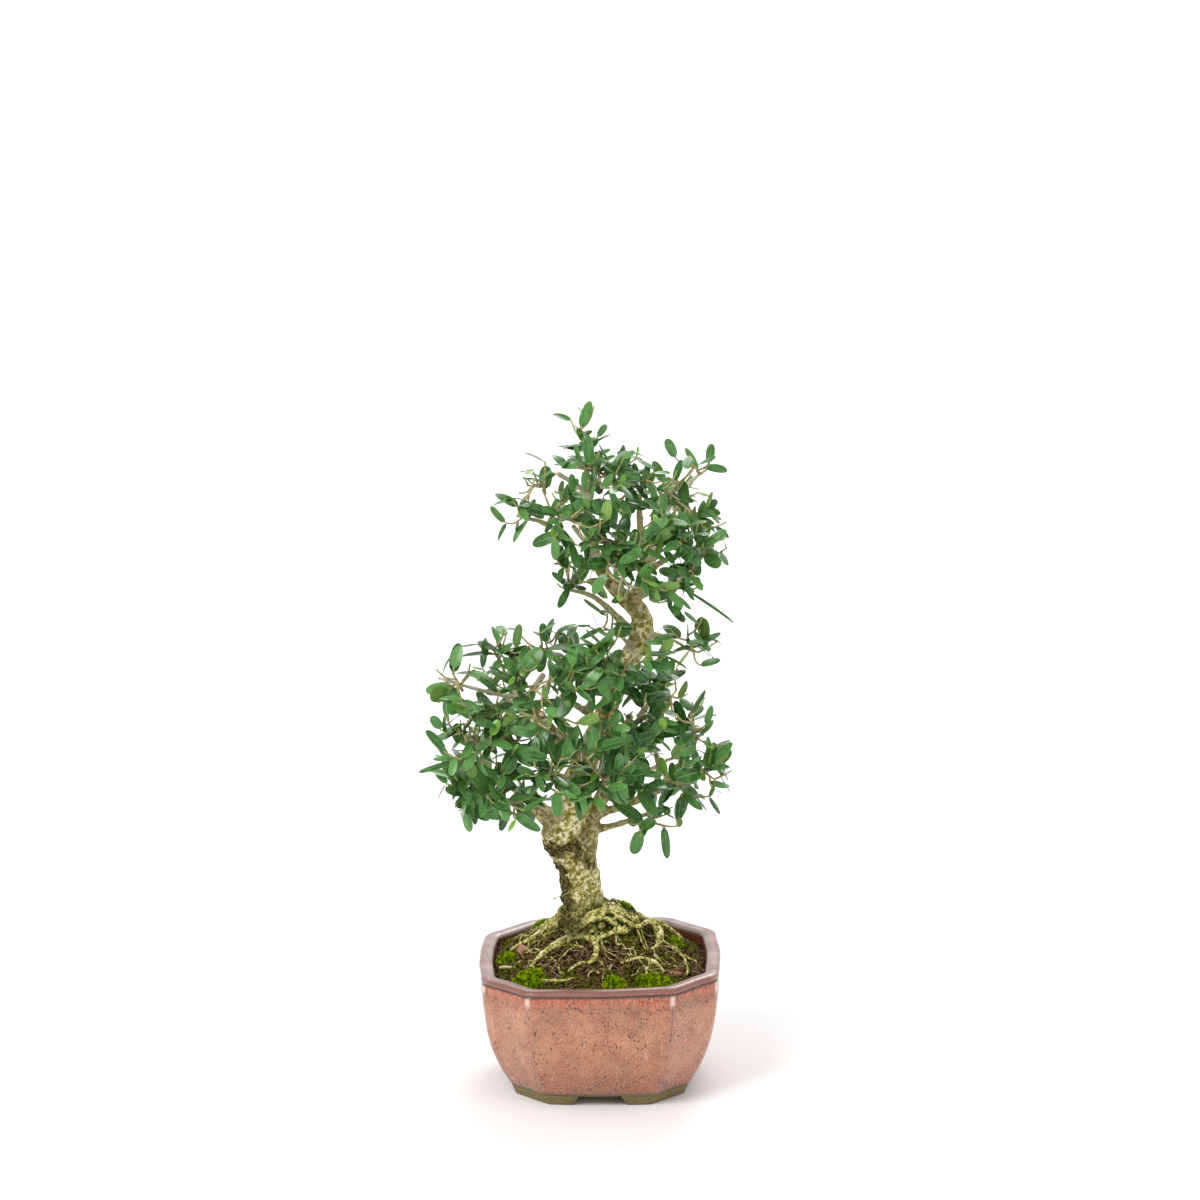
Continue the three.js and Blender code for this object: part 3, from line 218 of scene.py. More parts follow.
# Green stems of the leafy shoots. The first row of a shoot is the foot, the fork and the tip of
# its main stem. Each other row is the number of the stem whose fork it leaves, counted from 0,
# and then its own fork and tip.
SHOOTS = {
    "far_left": [(-83, -34, 258, -86, -38, 265, -89, -41, 271), (0, -90, -42, 261, -94, -45, 255),
        (0, -85, -44, 260, -83, -48, 255)],
    "left_crest": [(-60, -5, 268, -63, -8, 273, -65, -10, 278), (0, -57, -7, 276, -52, -5, 277)],
    "top_left": [(-31, 1, 269, -32, -1, 275, -33, -4, 280), (0, -38, -6, 277, -43, -10, 280)],
    "top_centre": [(-30, -3, 258, -24, -9, 266, -20, -14, 273), (0, -17, -14, 268, -10, -18, 271)],
    "left_knuckle": [(-46, -22, 250, -51, -38, 261, -57, -50, 268),
        (0, -49, -46, 270, -46, -52, 276), (0, -42, -50, 265, -35, -58, 269),
        (2, -35, -58, 262, -30, -62, 259)],
    "ringed_stub": [(-34, -48, 246, -35, -55, 245, -37, -61, 245),
        (0, -24, -60, 248, -13, -63, 245), (0, -42, -61, 250, -48, -65, 253)],
    "left_outer": [(-64, -46, 225, -72, -54, 230, -81, -58, 233), (0, -76, -58, 239, -80, -60, 245),
        (0, -79, -60, 226, -85, -63, 223), (0, -83, -61, 239, -91, -63, 245)],
    "left_thin": [(-53, -26, 222, -59, -36, 231, -64, -44, 238), (0, -63, -42, 241, -67, -46, 249),
        (1, -73, -50, 247, -82, -54, 250), (0, -52, -46, 228, -45, -52, 226)],
    "left_low_front": [(-56, -22, 195, -63, -38, 196, -69, -50, 197),
        (0, -58, -46, 194, -54, -52, 193), (0, -60, -46, 208, -59, -52, 217),
        (1, -52, -53, 191, -46, -56, 189)],
    "left_low": [(-71, -26, 200, -75, -30, 196, -79, -34, 192), (0, -81, -36, 201, -87, -40, 205),
        (0, -80, -36, 190, -83, -38, 186)],
    "centre_low": [(-27, -45, 210, -28, -55, 207, -30, -62, 204), (0, -35, -61, 215, -40, -65, 220),
        (0, -20, -61, 209, -13, -65, 206), (0, -26, -62, 218, -23, -66, 225)],
    "centre_front": [(1, -46, 211, 2, -55, 208, 4, -62, 205), (0, -4, -61, 217, -8, -65, 225),
        (0, 10, -60, 214, 16, -62, 219)],
    "centre_middle": [(17, 7, 206, 15, -24, 219, 12, -46, 229), (0, 7, -40, 230, 1, -50, 237),
        (0, 23, -34, 226, 30, -40, 230)],
    "right_inner": [(14, 4, 174, 16, -22, 190, 18, -44, 202), (0, 24, -30, 196, 31, -36, 200)],
    "right_crest": [(31, 5, 245, 34, 3, 252, 37, 0, 257), (0, 27, -8, 254, 22, -16, 254)],
    "right_riser": [(33, -8, 215, 34, -20, 226, 34, -30, 234), (0, 27, -28, 235, 22, -34, 243)],
    "right_high": [(54, -14, 228, 58, -20, 225, 63, -24, 223), (0, 56, -25, 235, 55, -28, 242)],
    "right_middle": [(59, -13, 200, 63, -19, 204, 66, -23, 208), (0, 66, -24, 202, 70, -27, 200)],
    "right_under": [(49, -12, 195, 52, -18, 192, 55, -22, 188), (0, 45, -26, 198, 39, -31, 204)],
    "right_low": [(29, -12, 173, 33, -18, 172, 35, -22, 170), (0, 27, -26, 173, 23, -31, 173)],
    "centre_twig": [(1, -34, 262, 2, -40, 269, 2, -45, 275), (0, -4, -44, 272, -9, -47, 276),
        (0, 4, -46, 280, 5, -50, 288)],
    "centre_right": [(12, -32, 269, 15, -40, 274, 17, -44, 279), (0, 22, -42, 277, 28, -43, 279),
        (0, 11, -50, 267, 7, -56, 259)],
    "centre_left": [(-21, -39, 254, -23, -50, 262, -24, -57, 268),
        (0, -16, -56, 264, -9, -60, 267)],
    "back_left": [(-55, 60, 225, -62, 61, 230, -69, 62, 234), (0, -56, 66, 221, -53, 70, 213)],
    "back_right": [(37, 55, 224, 44, 57, 229, 48, 58, 234), (0, 45, 60, 220, 48, 62, 213)],
    "back_middle": [(-7, 52, 236, -6, 56, 242, -5, 58, 247), (0, 1, 60, 239, 7, 62, 238)],
    "back_low_left": [(-64, 40, 183, -72, 43, 186, -79, 45, 189), (0, -74, 48, 192, -75, 50, 198)],
    "back_low_right": [(41, 54, 189, 49, 56, 191, 54, 55, 194), (0, 51, 58, 183, 55, 58, 178)],
    "neck_right": [(51, -12, 279, 56, -17, 279, 60, -20, 278), (0, 54, -20, 285, 53, -22, 290)],
    "neck_left": [(8, -7, 289, 6, -12, 290, 2, -16, 293)],
    "apex": [(-8, 4, 391, -10, 1, 405, -12, 0, 413)],
    "crest": [(-6, 3, 380, -1, -4, 387, 3, -10, 392), (0, 0, -28, 386, 1, -46, 386),
        (0, 7, -9, 391, 13, -12, 393), (0, -10, -9, 391, -17, -12, 393),
        (0, -5, -18, 392, -7, -28, 397), (0, 5, -18, 387, 10, -28, 391)],
    "left_riser": [(-33, -7, 374, -34, -10, 379, -36, -13, 383), (0, -40, -14, 380, -44, -16, 381)],
    "upper_left": [(-40, -25, 362, -45, -29, 364, -50, -33, 366),
        (0, -45, -34, 371, -45, -37, 377)],
    "upper_left_front": [(-31, -19, 358, -29, -32, 367, -26, -42, 374),
        (0, -23, -44, 369, -17, -52, 369), (1, -13, -54, 366, -5, -58, 364),
        (0, -24, -44, 360, -18, -50, 355)],
    "right_stem": [(25, 2, 372, 21, -5, 378, 17, -10, 381), (0, 24, -14, 383, 28, -20, 385),
        (0, 14, -22, 375, 9, -34, 371)],
    "right_reach": [(60, 1, 384, 57, -8, 391, 53, -12, 393), (0, 51, -14, 385, 45, -18, 382)],
    "right_reach_front": [(43, 9, 366, 41, -8, 374, 38, -24, 381), (0, 34, -20, 372, 28, -30, 370),
        (0, 51, -16, 368, 59, -22, 364), (1, 34, -34, 365, 37, -40, 359),
        (2, 60, -24, 360, 65, -28, 356)],
    "right_arm": [(60, -21, 344, 63, -28, 342, 66, -33, 340), (0, 59, -34, 338, 54, -38, 335),
        (0, 54, -40, 349, 45, -50, 354), (2, 44, -50, 360, 36, -54, 365),
        (1, 49, -40, 330, 41, -44, 323)],
    "right_droop": [(41, -17, 319, 46, -22, 319, 51, -26, 319), (0, 43, -28, 314, 42, -32, 310)],
    "upper_front": [(9, -36, 348, 10, -44, 348, 11, -52, 354), (0, 17, -50, 344, 23, -54, 340),
        (0, 5, -52, 342, 4, -56, 336), (0, 4, -50, 355, -2, -54, 361),
        (1, 24, -54, 336, 30, -56, 330), (2, 13, -56, 335, 17, -58, 328),
        (1, 24, -54, 349, 30, -56, 354)],
    "upper_left_twig": [(-19, -11, 315, -19, -17, 319, -19, -20, 323),
        (0, -12, -26, 323, -5, -32, 326), (0, -19, -29, 331, -17, -37, 340)],
    "upper_back": [(-14, 42, 346, -20, 44, 351, -25, 45, 354)],
    "upper_back_right": [(34, 44, 354, 37, 45, 361, 39, 45, 366), (0, 46, 48, 354, 52, 50, 348)],
}

# Single leaves: foot, tip, and width over length.
LONE_LEAVES = {
    "apex": ((-12, 0, 413), (-6, -1, 430), 0.42),
    "left_outer": ((-84, -63, 223), (-110, -66, 217), 0.2),
    "right_droop": ((51, -26, 319), (82, -30, 300), 0.07),
    "right_middle": ((66, -23, 208), (80, -26, 224), 0.36),
    "centre_front": ((2, -55, 208), (-19, -71, 200), 0.3),
    "ringed_stub": ((-13, -63, 245), (-23, -66, 222), 0.34),
    "neck_left": ((2, -16, 293), (-13, -20, 287), 0.28),
    "top_left": ((-33, -4, 280), (-35, -5, 293), 0.45),
}

# Moss cushions on the soil: middle, half width, half depth and height, in millimetres.
MOSS = {
    "front_left": (-43, -36, 10, 8, 6), "left": (-58, -1, 5, 5, 4), "back_left": (-33, 55, 9, 6, 5),
    "front_right": (33, -42, 11, 8, 5), "front_middle": (9, -46, 6, 5, 4),
    "right": (47, 13, 4, 4, 4), "mound": (13, 26, 9, 7, 7),
}

# Rings of a cushion from its foot up: share of its width, and height as a share or below 0 in
# millimetres.
CUSHION = (
    (0.9, -3.5), (1.0, -0.5), (1.0, 0.25), (0.94, 0.5), (0.82, 0.72), (0.64, 0.88), (0.42, 0.96),
    (0.2, 1.0),
)

# Where creeping moss is thickest: middle and reach in millimetres.
MOSS_SPREAD = ((32, -40, 13), (18, -39, 9), (8, -46, 8), (-42, -31, 12), (-54, -18, 7),
    (-27, -45, 8), (-59, -2, 6), (-57, 42, 9), (41, 17, 7), (52, 18, 6), (19, 4, 9), (50, -27, 5),
    (-20, -33, 6), (10, 52, 12), (45, 45, 9), (22, -47, 7), (44, -36, 8), (-33, -40, 7),
    (-8, -49, 5), (30, -49, 6))


# ------------------------------------------------------------------ meshes


def spline(points, steps):
    """Points on a smooth path through the given ones, at parameters from 0 to 1."""
    points = np.asarray(points, float)
    padded = np.vstack([2 * points[0] - points[1], points, 2 * points[-1] - points[-2]])
    place = np.clip(np.asarray(steps, float), 0, 1) * (len(points) - 1)
    index = np.minimum(place.astype(int), len(points) - 2)
    part = (place - index)[:, None]
    a, b, c, d = (padded[index + k] for k in range(4))
    before, here, after = (
        np.sqrt(np.linalg.norm(end - start, axis=1))[:, None]
        for start, end in ((a, b), (b, c), (c, d))
    )
    leave = ((b - a) / before - (c - a) / (before + here) + (c - b) / here) * here
    arrive = ((c - b) / here - (d - b) / (here + after) + (d - c) / after) * here
    square = 3 * (c - b) - 2 * leave - arrive
    cube = 2 * (b - c) + leave + arrive
    return b + leave * part + square * part**2 + cube * part**3


class Path:
    """A smooth path that is asked for places by their share of its length."""

    SAMPLES = 201

    def __init__(self, points):
        self.points = np.asarray(points, float)[:, :3]
        self.fine = np.linspace(0, 1, self.SAMPLES)
        stations = spline(self.points, self.fine)
        gaps = np.linalg.norm(np.diff(stations, axis=0), axis=1)
        self.run = np.concatenate([[0], np.cumsum(gaps)])
        self.length = self.run[-1]

    def steps(self, shares):
        return np.interp(np.asarray(shares, float) * self.length, self.run, self.fine)

    def at(self, share):
        return spline(self.points, self.steps([share]))[0]

    def heading(self, share):
        step = self.steps([share])[0]
        ends = spline(self.points, [max(step - 1e-4, 0), min(step + 1e-4, 1)])
        return unit(ends[1] - ends[0])


def circle(count):
    """Cosines and sines round a circle, as rows."""
    angles = np.arange(count) * 2 * math.pi / count
    return np.column_stack([np.cos(angles), np.sin(angles)])


def unit(v):
    return np.asarray(v, float) / max(np.linalg.norm(v), 1e-12)


def chance(seed):
    """A repeatable number from 0 to 1."""
    wave = math.sin(seed * 12.9898 + 4.1414) * 43758.5453
    return wave - math.floor(wave)


def rough(point, size, depth=4):
    """Cloudy noise of about -1 to 1 with lumps of a given size in millimetres."""
    return noise.fractal(Vector(point) / size, 0.7, 2.1, depth)


def ring_faces(rows, columns, wrap=False):
    """Quads between rows of points that each run round a closed ring."""
    faces = []
    for row in range(rows if wrap else rows - 1):
        low, high = row * columns, ((row + 1) % rows) * columns
        for column in range(columns):
            beside = (column + 1) % columns
            faces.append((low + column, low + beside, high + beside, high + column))
    return faces


def loft(rings):
    """Points and faces of a closed skin over rings, with a fan at each end."""
    rows, columns = len(rings), len(rings[0])
    points = np.vstack([*rings, np.mean(rings[0], axis=0), np.mean(rings[-1], axis=0)])
    faces = ring_faces(rows, columns)
    first, last, top = rows * columns, rows * columns + 1, (rows - 1) * columns
    for column in range(columns):
        beside = (column + 1) % columns
        faces.append((first, beside, column))
        faces.append((last, top + column, top + beside))
    return points, faces


def grown(route, shares):
    """Places and radii at shares of the length of a route of points [x, y, z, radius]."""
    path = Path(route)
    steps = path.steps(shares)
    marks = np.linspace(0, 1, len(route))
    return spline(path.points, steps), np.interp(steps, marks, np.asarray(route, float)[:, 3])


def tube(route, sides, step, flare=0.0, knots=0.0, wander=0.0, seed=0):
    """A round limb through points [x, y, z, radius], wider where it leaves its parent, that
    wanders by some millimetres between its two ends."""
    length = Path(route).length
    shares = np.linspace(0, 1, max(3, int(math.ceil(length / step)) + 1))
    centres, radii = grown(route, shares)
    loose = wander * np.sqrt(np.sin(math.pi * shares).clip(0))
    for axis in range(3):
        centres[:, axis] += loose * [
            rough((share * length, seed * 5.1, axis * 9), 9, 2) for share in shares
        ]
    headings = np.gradient(centres, axis=0)
    side = unit(np.cross(headings[0], (0.31, 0.72, 0.62)))
    rings = []
    for centre, heading, radius, run in zip(centres, headings, radii, shares * length):
        ahead = unit(heading)
        side = unit(side - ahead * side.dot(ahead))
        radius *= 1 + flare * math.exp(-run / (1.6 * radii[0]))
        radius *= 1 + knots * rough((run, seed * 7.3, 0), 5, 2)
        rings.append(centre + radius * circle(sides) @ [side, np.cross(ahead, side)])
    return loft(rings)


def merged(parts):
    """Several (points, faces) as one."""
    points, faces, start = [], [], 0
    for some_points, some_faces in parts:
        points.append(some_points)
        faces += [tuple(i + start for i in face) for face in some_faces]
        start += len(some_points)
    return np.vstack(points), faces


def new_piece(name, points, faces):
    """A mesh object from points in millimetres about the pot, with its place in its mesh."""
    return small_form(name, np.asarray(points) * MM + POT_MIDDLE, faces)


def small_form(name, points, faces, smooth=True, edges=()):
    """A mesh object with its points as they are, such as a form that the trees scale."""
    mesh = bpy.data.meshes.new(name)
    mesh.from_pydata(np.asarray(points).tolist(), edges, faces)
    return finish_piece(mesh, smooth)


def finish_piece(mesh, smooth=True):
    mesh.polygons.foreach_set("use_smooth", [smooth] * len(mesh.polygons))
    mesh.update()
    mesh.validate()
    return in_scene(mesh.name, mesh)


def in_scene(name, data):
    """An object of the scene that holds a mesh, a lamp or a camera."""
    thing = bpy.data.objects.new(name, data)
    bpy.context.scene.collection.objects.link(thing)
    return thing


def set_values(mesh, kind="FLOAT", **values):
    """Stores one value of each name for each vertex."""
    for name, value in values.items():
        attribute = mesh.attributes.new(name, kind, "POINT")
        field = "vector" if kind == "FLOAT_VECTOR" else "value"
        attribute.data.foreach_set(field, np.asarray(value).ravel())


def read_all(items, field):
    """A vector of each vertex, as rows."""
    flat = np.empty(len(items) * 3, np.float32)
    items.foreach_get(field, flat)
    return flat.reshape(-1, 3).astype(float)


def search_tree(places):
    tree = kdtree.KDTree(len(places))
    for index, place in enumerate(places):
        tree.insert(place, index)
    tree.balance()
    return tree


def settle(piece, finish, slot, *nodes):
    """Finishes a piece and joins it to the frame: it rides on the root body and stands for its CAD
    nodes. The slot is not used."""
    if finish:
        piece.data.materials.clear()
        piece.data.materials.append(finish)
    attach(piece, "root")
    if nodes:
        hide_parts(*nodes)


# ------------------------------------------------------------------ node trees

# Kinds of node, some with their settings.
NOISE, CELLS, RAMP = "ShaderNodeTexNoise", "ShaderNodeTexVoronoi", "ShaderNodeValToRGB"
STRETCH, SPLIT, JOIN = "ShaderNodeMapping", "ShaderNodeSeparateXYZ", "ShaderNodeCombineXYZ"
STORED, RANDOM = "GeometryNodeInputNamedAttribute", "FunctionNodeRandomValue"
BAND = "ShaderNodeMapRange", {"interpolation_type": "SMOOTHSTEP"}
PAINT, TINT = (
    ("ShaderNodeMix", {"data_type": "RGBA", "clamp_factor": True, "blend_type": blend})
    for blend in ("MIX", "MULTIPLY")
)
TIMES, PLUS, MINUS, MOST, SIZE, ABOVE, PART = (
    ("ShaderNodeMath", {"operation": name})
    for name in ("MULTIPLY", "ADD", "SUBTRACT", "MAXIMUM", "ABSOLUTE", "GREATER_THAN", "FRACT")
)


def add(tree, kind, *values, out=None, stops=(), **links):
    """Adds a node, fills or links its open inputs in order and others by name, and gives the
    output asked for, or else its first. Colours may be hex, and stops are a ramp's."""
    kind, settings = (kind, {}) if isinstance(kind, str) else kind
    node = tree.nodes.new(kind)
    for name, value in settings.items():
        setattr(node, name, value)
    for index, (place, code) in enumerate(stops):
        marks = node.color_ramp.elements
        mark = marks[index] if index < len(marks) else marks.new(place)
        mark.position, mark.color = place, linear(code)
    pairs = [*zip((s for s in node.inputs if s.enabled), values)]
    pairs += [(node.inputs[name.replace("_", " ")], value) for name, value in links.items()]
    for socket, value in pairs:
        if isinstance(value, bpy.types.NodeSocket):
            tree.links.new(value, socket)
        else:
            hexed = isinstance(value, str) and socket.type == "RGBA"
            socket.default_value = linear(value) if hexed else value
    return node.outputs[out] if out else next(s for s in node.outputs if s.enabled)


def new_tree(name, **inputs):
    """A Geometry Nodes tree, the way to add nodes to it, its named inputs and its output."""
    tree = bpy.data.node_groups.new(name, "GeometryNodeTree")
    for label, kind in {"Geometry": "Geometry", **inputs}.items():
        tree.interface.new_socket(
            label.replace("_", " "), in_out="INPUT", socket_type="NodeSocket" + kind
        )
    tree.interface.new_socket("Geometry", in_out="OUTPUT", socket_type="NodeSocketGeometry")
    source = tree.nodes.new("NodeGroupInput")
    return tree, partial(add, tree), source.outputs, tree.nodes.new("NodeGroupOutput").inputs[0]


def grow(piece, tree, **values):
    """Runs a tree on a piece, keeps the result as the piece's own mesh, and drops the modifier."""
    modifier = piece.modifiers.new(tree.name, "NODES")
    modifier.node_group = tree
    for item in tree.interface.items_tree:
        key = item.name.replace(" ", "_").lower()
        if item.in_out == "INPUT" and key in values:
            modifier[item.identifier] = values[key]
    baked(piece)
    if not piece.data.polygons:
        raise RuntimeError(f"{piece.name} came out of {tree.name} empty")


def baked(piece):
    """Puts a piece's modifiers into its mesh."""
    depsgraph = bpy.context.evaluated_depsgraph_get()
    before = piece.data
    mesh = bpy.data.meshes.new_from_object(
        piece.evaluated_get(depsgraph), preserve_all_data_layers=True, depsgraph=depsgraph
    )
    piece.modifiers.clear()
    piece.data = mesh
    bpy.data.meshes.remove(before)
    mesh.name = piece.name


def set_out(put, points, forms, pick, rotation, scale, material):
    """Forms of a collection set out on points, as real mesh in a material."""
    apart = put("GeometryNodeCollectionInfo", forms, True, True)
    placed = put(
        "GeometryNodeInstanceOnPoints", points, Instance=apart, Pick_Instance=True,
        Instance_Index=pick, Rotation=rotation, Scale=scale,
    )
    real = put("GeometryNodeRealizeInstances", placed)
    return put("GeometryNodeSetMaterial", real, Material=material)


def scatter_tree():
    """Small forms strewn over a mesh where its attribute thick is above nothing."""
    tree, put, ask, end = new_tree(
        "strew_forms", Forms="Collection", Density="Float", Seed="Int", Smallest="Float",
        Largest="Float", Tilt="Float", Material="Material",
    )
    seed, tilt = ask["Seed"], ask["Tilt"]
    density = put(TIMES, ask["Density"], put((STORED, {"data_type": "FLOAT"}), "thick"))
    spots = put(
        "GeometryNodeDistributePointsOnFaces", ask["Geometry"], Density=density, Seed=seed
    )
    back = put(TIMES, tilt, -1.0)
    least, most = put(JOIN, back, back, 0.0), put(JOIN, tilt, tilt, 2 * math.pi)
    turn, size, pick = (
        put((RANDOM, {"data_type": kind}), low, high, Seed=seed)
        for kind, low, high in (
            ("FLOAT_VECTOR", least, most),
            ("FLOAT", ask["Smallest"], ask["Largest"]),
            ("INT", 0, 11),
        )
    )
    stand = put(
        ("FunctionNodeRotateRotation", {"rotation_space": "LOCAL"}),
        spots.node.outputs["Rotation"], put("FunctionNodeEulerToRotation", turn),
    )
    strewn = set_out(put, spots, ask["Forms"], pick, stand, size, ask["Material"])
    tree.links.new(strewn, end)
    return tree


def shoot_tree():
    """Green stems swept along a wire, and leaves set on the loose points beside it."""
    tree, put, ask, end = new_tree(
        "leafy_shoot", Forms="Collection", Sides="Int", Stem_Material="Material",
        Leaf_Material="Material",
    )
    is_leaf, radius, turn, form, size = (
        put((STORED, {"data_type": kind}), name)
        for name, kind in (("is_leaf", "BOOLEAN"), ("radius", "FLOAT"), ("turn", "FLOAT_VECTOR"),
                           ("form", "INT"), ("size", "FLOAT_VECTOR"))
    )
    sites = put(("GeometryNodeSeparateGeometry", {"domain": "POINT"}), ask["Geometry"], is_leaf)
    wire = put("GeometryNodeMeshToCurve", sites.node.outputs["Inverted"])
    girth = put("GeometryNodeSetCurveRadius", wire, Radius=radius)
    section = put("GeometryNodeCurvePrimitiveCircle", Resolution=ask["Sides"], Radius=1.0)
    swept = put("GeometryNodeCurveToMesh", girth, section, Fill_Caps=True)
    if "Scale" in swept.node.inputs:
        tree.links.new(put("GeometryNodeInputRadius"), swept.node.inputs["Scale"])
    smooth = put("GeometryNodeSetShadeSmooth", swept)
    stems = put("GeometryNodeSetMaterial", smooth, Material=ask["Stem Material"])
    leaves = set_out(
        put, put("GeometryNodeMeshToPoints", sites), ask["Forms"], form,
        put("FunctionNodeEulerToRotation", turn), size, ask["Leaf Material"],
    )
    both = put("GeometryNodeJoinGeometry", leaves)
    tree.links.new(stems, both.node.inputs[0])
    tree.links.new(both, end)
    return tree


class Forms:
    """A collection of small forms that lasts only while pieces are grown from it."""

    def __init__(self, name, pieces):
        self.pieces = pieces
        self.collection = bpy.data.collections.new(name)
        bpy.context.scene.collection.children.link(self.collection)
        for piece in pieces:
            bpy.context.scene.collection.objects.unlink(piece)
            self.collection.objects.link(piece)

    def __enter__(self):
        return self.collection

    def __exit__(self, *_):
        for piece in self.pieces:
            bpy.data.meshes.remove(piece.data)
        bpy.data.collections.remove(self.collection)


# ------------------------------------------------------------------ materials


def new_material(name, *stored, **uniform):
    """A material, the way to add nodes to it, places on the object in millimetres, and the
    values that the mesh stores. What is the same all over is set on the shader itself."""
    material = bpy.data.materials.new(name)
    material.use_nodes = True
    put = partial(add, material.node_tree)
    shader = material.node_tree.nodes["Principled BSDF"]
    for socket, value in uniform.items():
        shader.inputs[socket.replace("_", " ")].default_value = value
    place = put(STRETCH, put("ShaderNodeTexCoord", out="Object"), Scale=(1000, 1000, 1000))
    return material, put, place, *(
        put(("ShaderNodeAttribute", {"attribute_name": value}), out="Fac") for value in stored
    )


def finish_material(material, colour, roughness=None, height=None, depth=0.0):
    """Links the colour, the roughness and a bump whose full height is depth millimetres."""
    tree = material.node_tree
    if height is not None:
        height = add(tree, "ShaderNodeBump", Height=height, Distance=depth * MM, Strength=0.9)
    for name, value in (("Base Color", colour), ("Roughness", roughness), ("Normal", height)):
        if value is not None:
            tree.links.new(value, tree.nodes["Principled BSDF"].inputs[name])
    return material


def layered(put, colour, *layers):
    """Colours laid one over another, each as thick as the share before it."""
    for share, over in layers:
        colour = put(PAINT, share, colour, over)
    return colour


def glaze_material(settings):
    """Stoneware, dipped in an iron glaze and fired, bare on the feet. The glaze is orange
    where it is thick under the lip, rosy where it thins below, and breaks to mauve grey on
    the corners, with fine upright flecks and pin holes."""
    material, put, mm, edge, crack, rim, line, inside, worn = new_material(
        "stoneware_iron_glaze_fired", "edge", "crack", "rim", "line", "inside", "worn",
        IOR=1.5, Coat_Weight=0.35, Coat_Roughness=0.1,
    )
    height = put(SPLIT, mm, out="Z")
    upright = put(STRETCH, mm, Scale=(1.0, 1.0, 0.55))
    cloud = put(NOISE, mm, 1 / 14, 6, 0.62)
    body = put(RAMP, cloud, stops=[
        (0.3, "9A5A44"), (0.48, "B07255"), (0.62, "BA8060"), (0.75, "B0705A"),
    ])
    body = put(TINT, 1, body, settings.glaze_tint)
    # Under the lip the glaze is thick and orange, and towards the foot thin and rosy.
    wander = put(PLUS, height, put(TIMES, cloud, 9))
    streaks = put(NOISE, upright, 1 / 2.2, 5, 0.7)
    streaks = put(RAMP, streaks, stops=[(0.4, "8A3C26"), (0.5, "B05230"), (0.6, "C87A5C")])
    # Flecks under a millimetre wide, thickest half way down: pale tan, brown, and grey olive.
    fleck = put(NOISE, upright, 1 / 0.75, 3, 0.75)
    pale = put(TIMES, put(BAND, fleck, 0.52, 0.64), put(BAND, wander, 76, 58, 0.15, 0.75))
    cluster = put(TIMES, put(NOISE, mm, 1 / 17, 3), 0.4)
    grey = put(PLUS, put(NOISE, upright, 1 / 1.1, 4, 0.8), cluster)
    belt = put(BAND, put(SIZE, put(MINUS, height, 68.5)), 3, 0.5, 0, 0.035)
    pits = put(BAND, put(CELLS, upright, 1 / 1.5), 0.385, 0.26)
    pits = put(TIMES, pits, put(BAND, put(NOISE, mm, 1 / 8, 4), 0.51, 0.6))
    # Pale runs where the glaze flowed, and mauve where it breaks over the upright corners. A paler
    # line down the corners and pale spots under the lip at the corners are painted highlights.
    runs = put(NOISE, put(STRETCH, mm, Scale=(1.0, 1.0, 0.12)), 1 / 4, 2)
    crest = put(PLUS, edge, put(TIMES, cloud, 0.3))
    corner_highlight = put(TIMES, put(BAND, height, 67, 72), put(BAND, edge, 0.35, 0.9, 0, 0.85))
    dashes = put(NOISE, put(STRETCH, mm, Scale=(1, 1, 2.5)), 1 / 3, 3)
    row = put(BAND, put(SIZE, put(MINUS, height, 67.5)), 3.5, 1)
    dashes = put(TIMES, put(BAND, dashes, 0.52, 0.6, 0, 0.8), row)
    crack = put(PLUS, crack, put(TIMES, fleck, 0.6))
    # The rim is mauve grey. Towards the front it is painted darker and redder, a painted shade on
    # its outer slope.
    lip = put(RAMP, cloud, stops=[(0.32, "7F5D58"), (0.5, "9B7974"), (0.68, "AE908C")])
    near = put(BAND, put(SPLIT, mm, out="Y"), -44, -52, 0, 0.8)
    inner = put(RAMP, fleck, stops=[(0.35, "57291D"), (0.7, "8A5240")])
    # The wax line above the bare clay of the feet wanders a little.
    wax = put(PLUS, height, put(TIMES, cloud, 4))
    bare = put(BAND, wax, 10, 9.3)
    clay = put(RAMP, fleck, stops=[(0.3, "584B2A"), (0.5, "716337"), (0.7, "87794B")])
    colour = layered(
        put, body,
        (put(BAND, wander, 69, 79, 0, 0.8), streaks),
        (put(BAND, wander, 44, 14, 0, 0.7), "935040"),
        (pale, "CDA077"),
        (put(BAND, fleck, 0.44, 0.34, 0, 0.8), "6A4033"),
        (put(BAND, put(PLUS, grey, belt), 0.75, 0.84, 0, 0.75), "80705A"),
        (pits, "46342C"),
        (put(BAND, runs, 0.66, 0.74, 0, 0.4), "D6BBAE"),
        (put(BAND, put(TIMES, edge, cloud), 0.22, 0.6, 0, 0.55), "9A766C"),
        # Painted highlights: a pale line down the corners and pale spots under the lip at the
        # corners.
        (put(BAND, crest, 1.02, 1.18, 0, 0.6), "DDB7A2"),
        (corner_highlight, "E6C9BC"),
        (dashes, "7A4434"),
        (put(BAND, crack, 1, 1.15, 0, 0.85), "4A3A34"),
        # The rim, darker and redder towards the front as painted shade.
        (rim, put(PAINT, near, lip, "7C4A3C")),
        # A dark line of painted shade under the lip's overhang.
        (line, "453A3A"),
        (inside, inner),
        # A grey line of painted sheen on the rim's inner edge.
        (put(TIMES, worn, 0.6), "A9A6A2"),
        (put(BAND, wax, 11.6, 9.8, 0, 0.85), "514039"),
        (bare, clay),
    )
    shine = put(MOST, put(BAND, fleck, 0.3, 0.7, 0.18, 0.38), put(TIMES, bare, 0.8))
    relief = put(MINUS, fleck, put(TIMES, pits, 1.2))
    return finish_material(material, colour, shine, relief, 0.16)


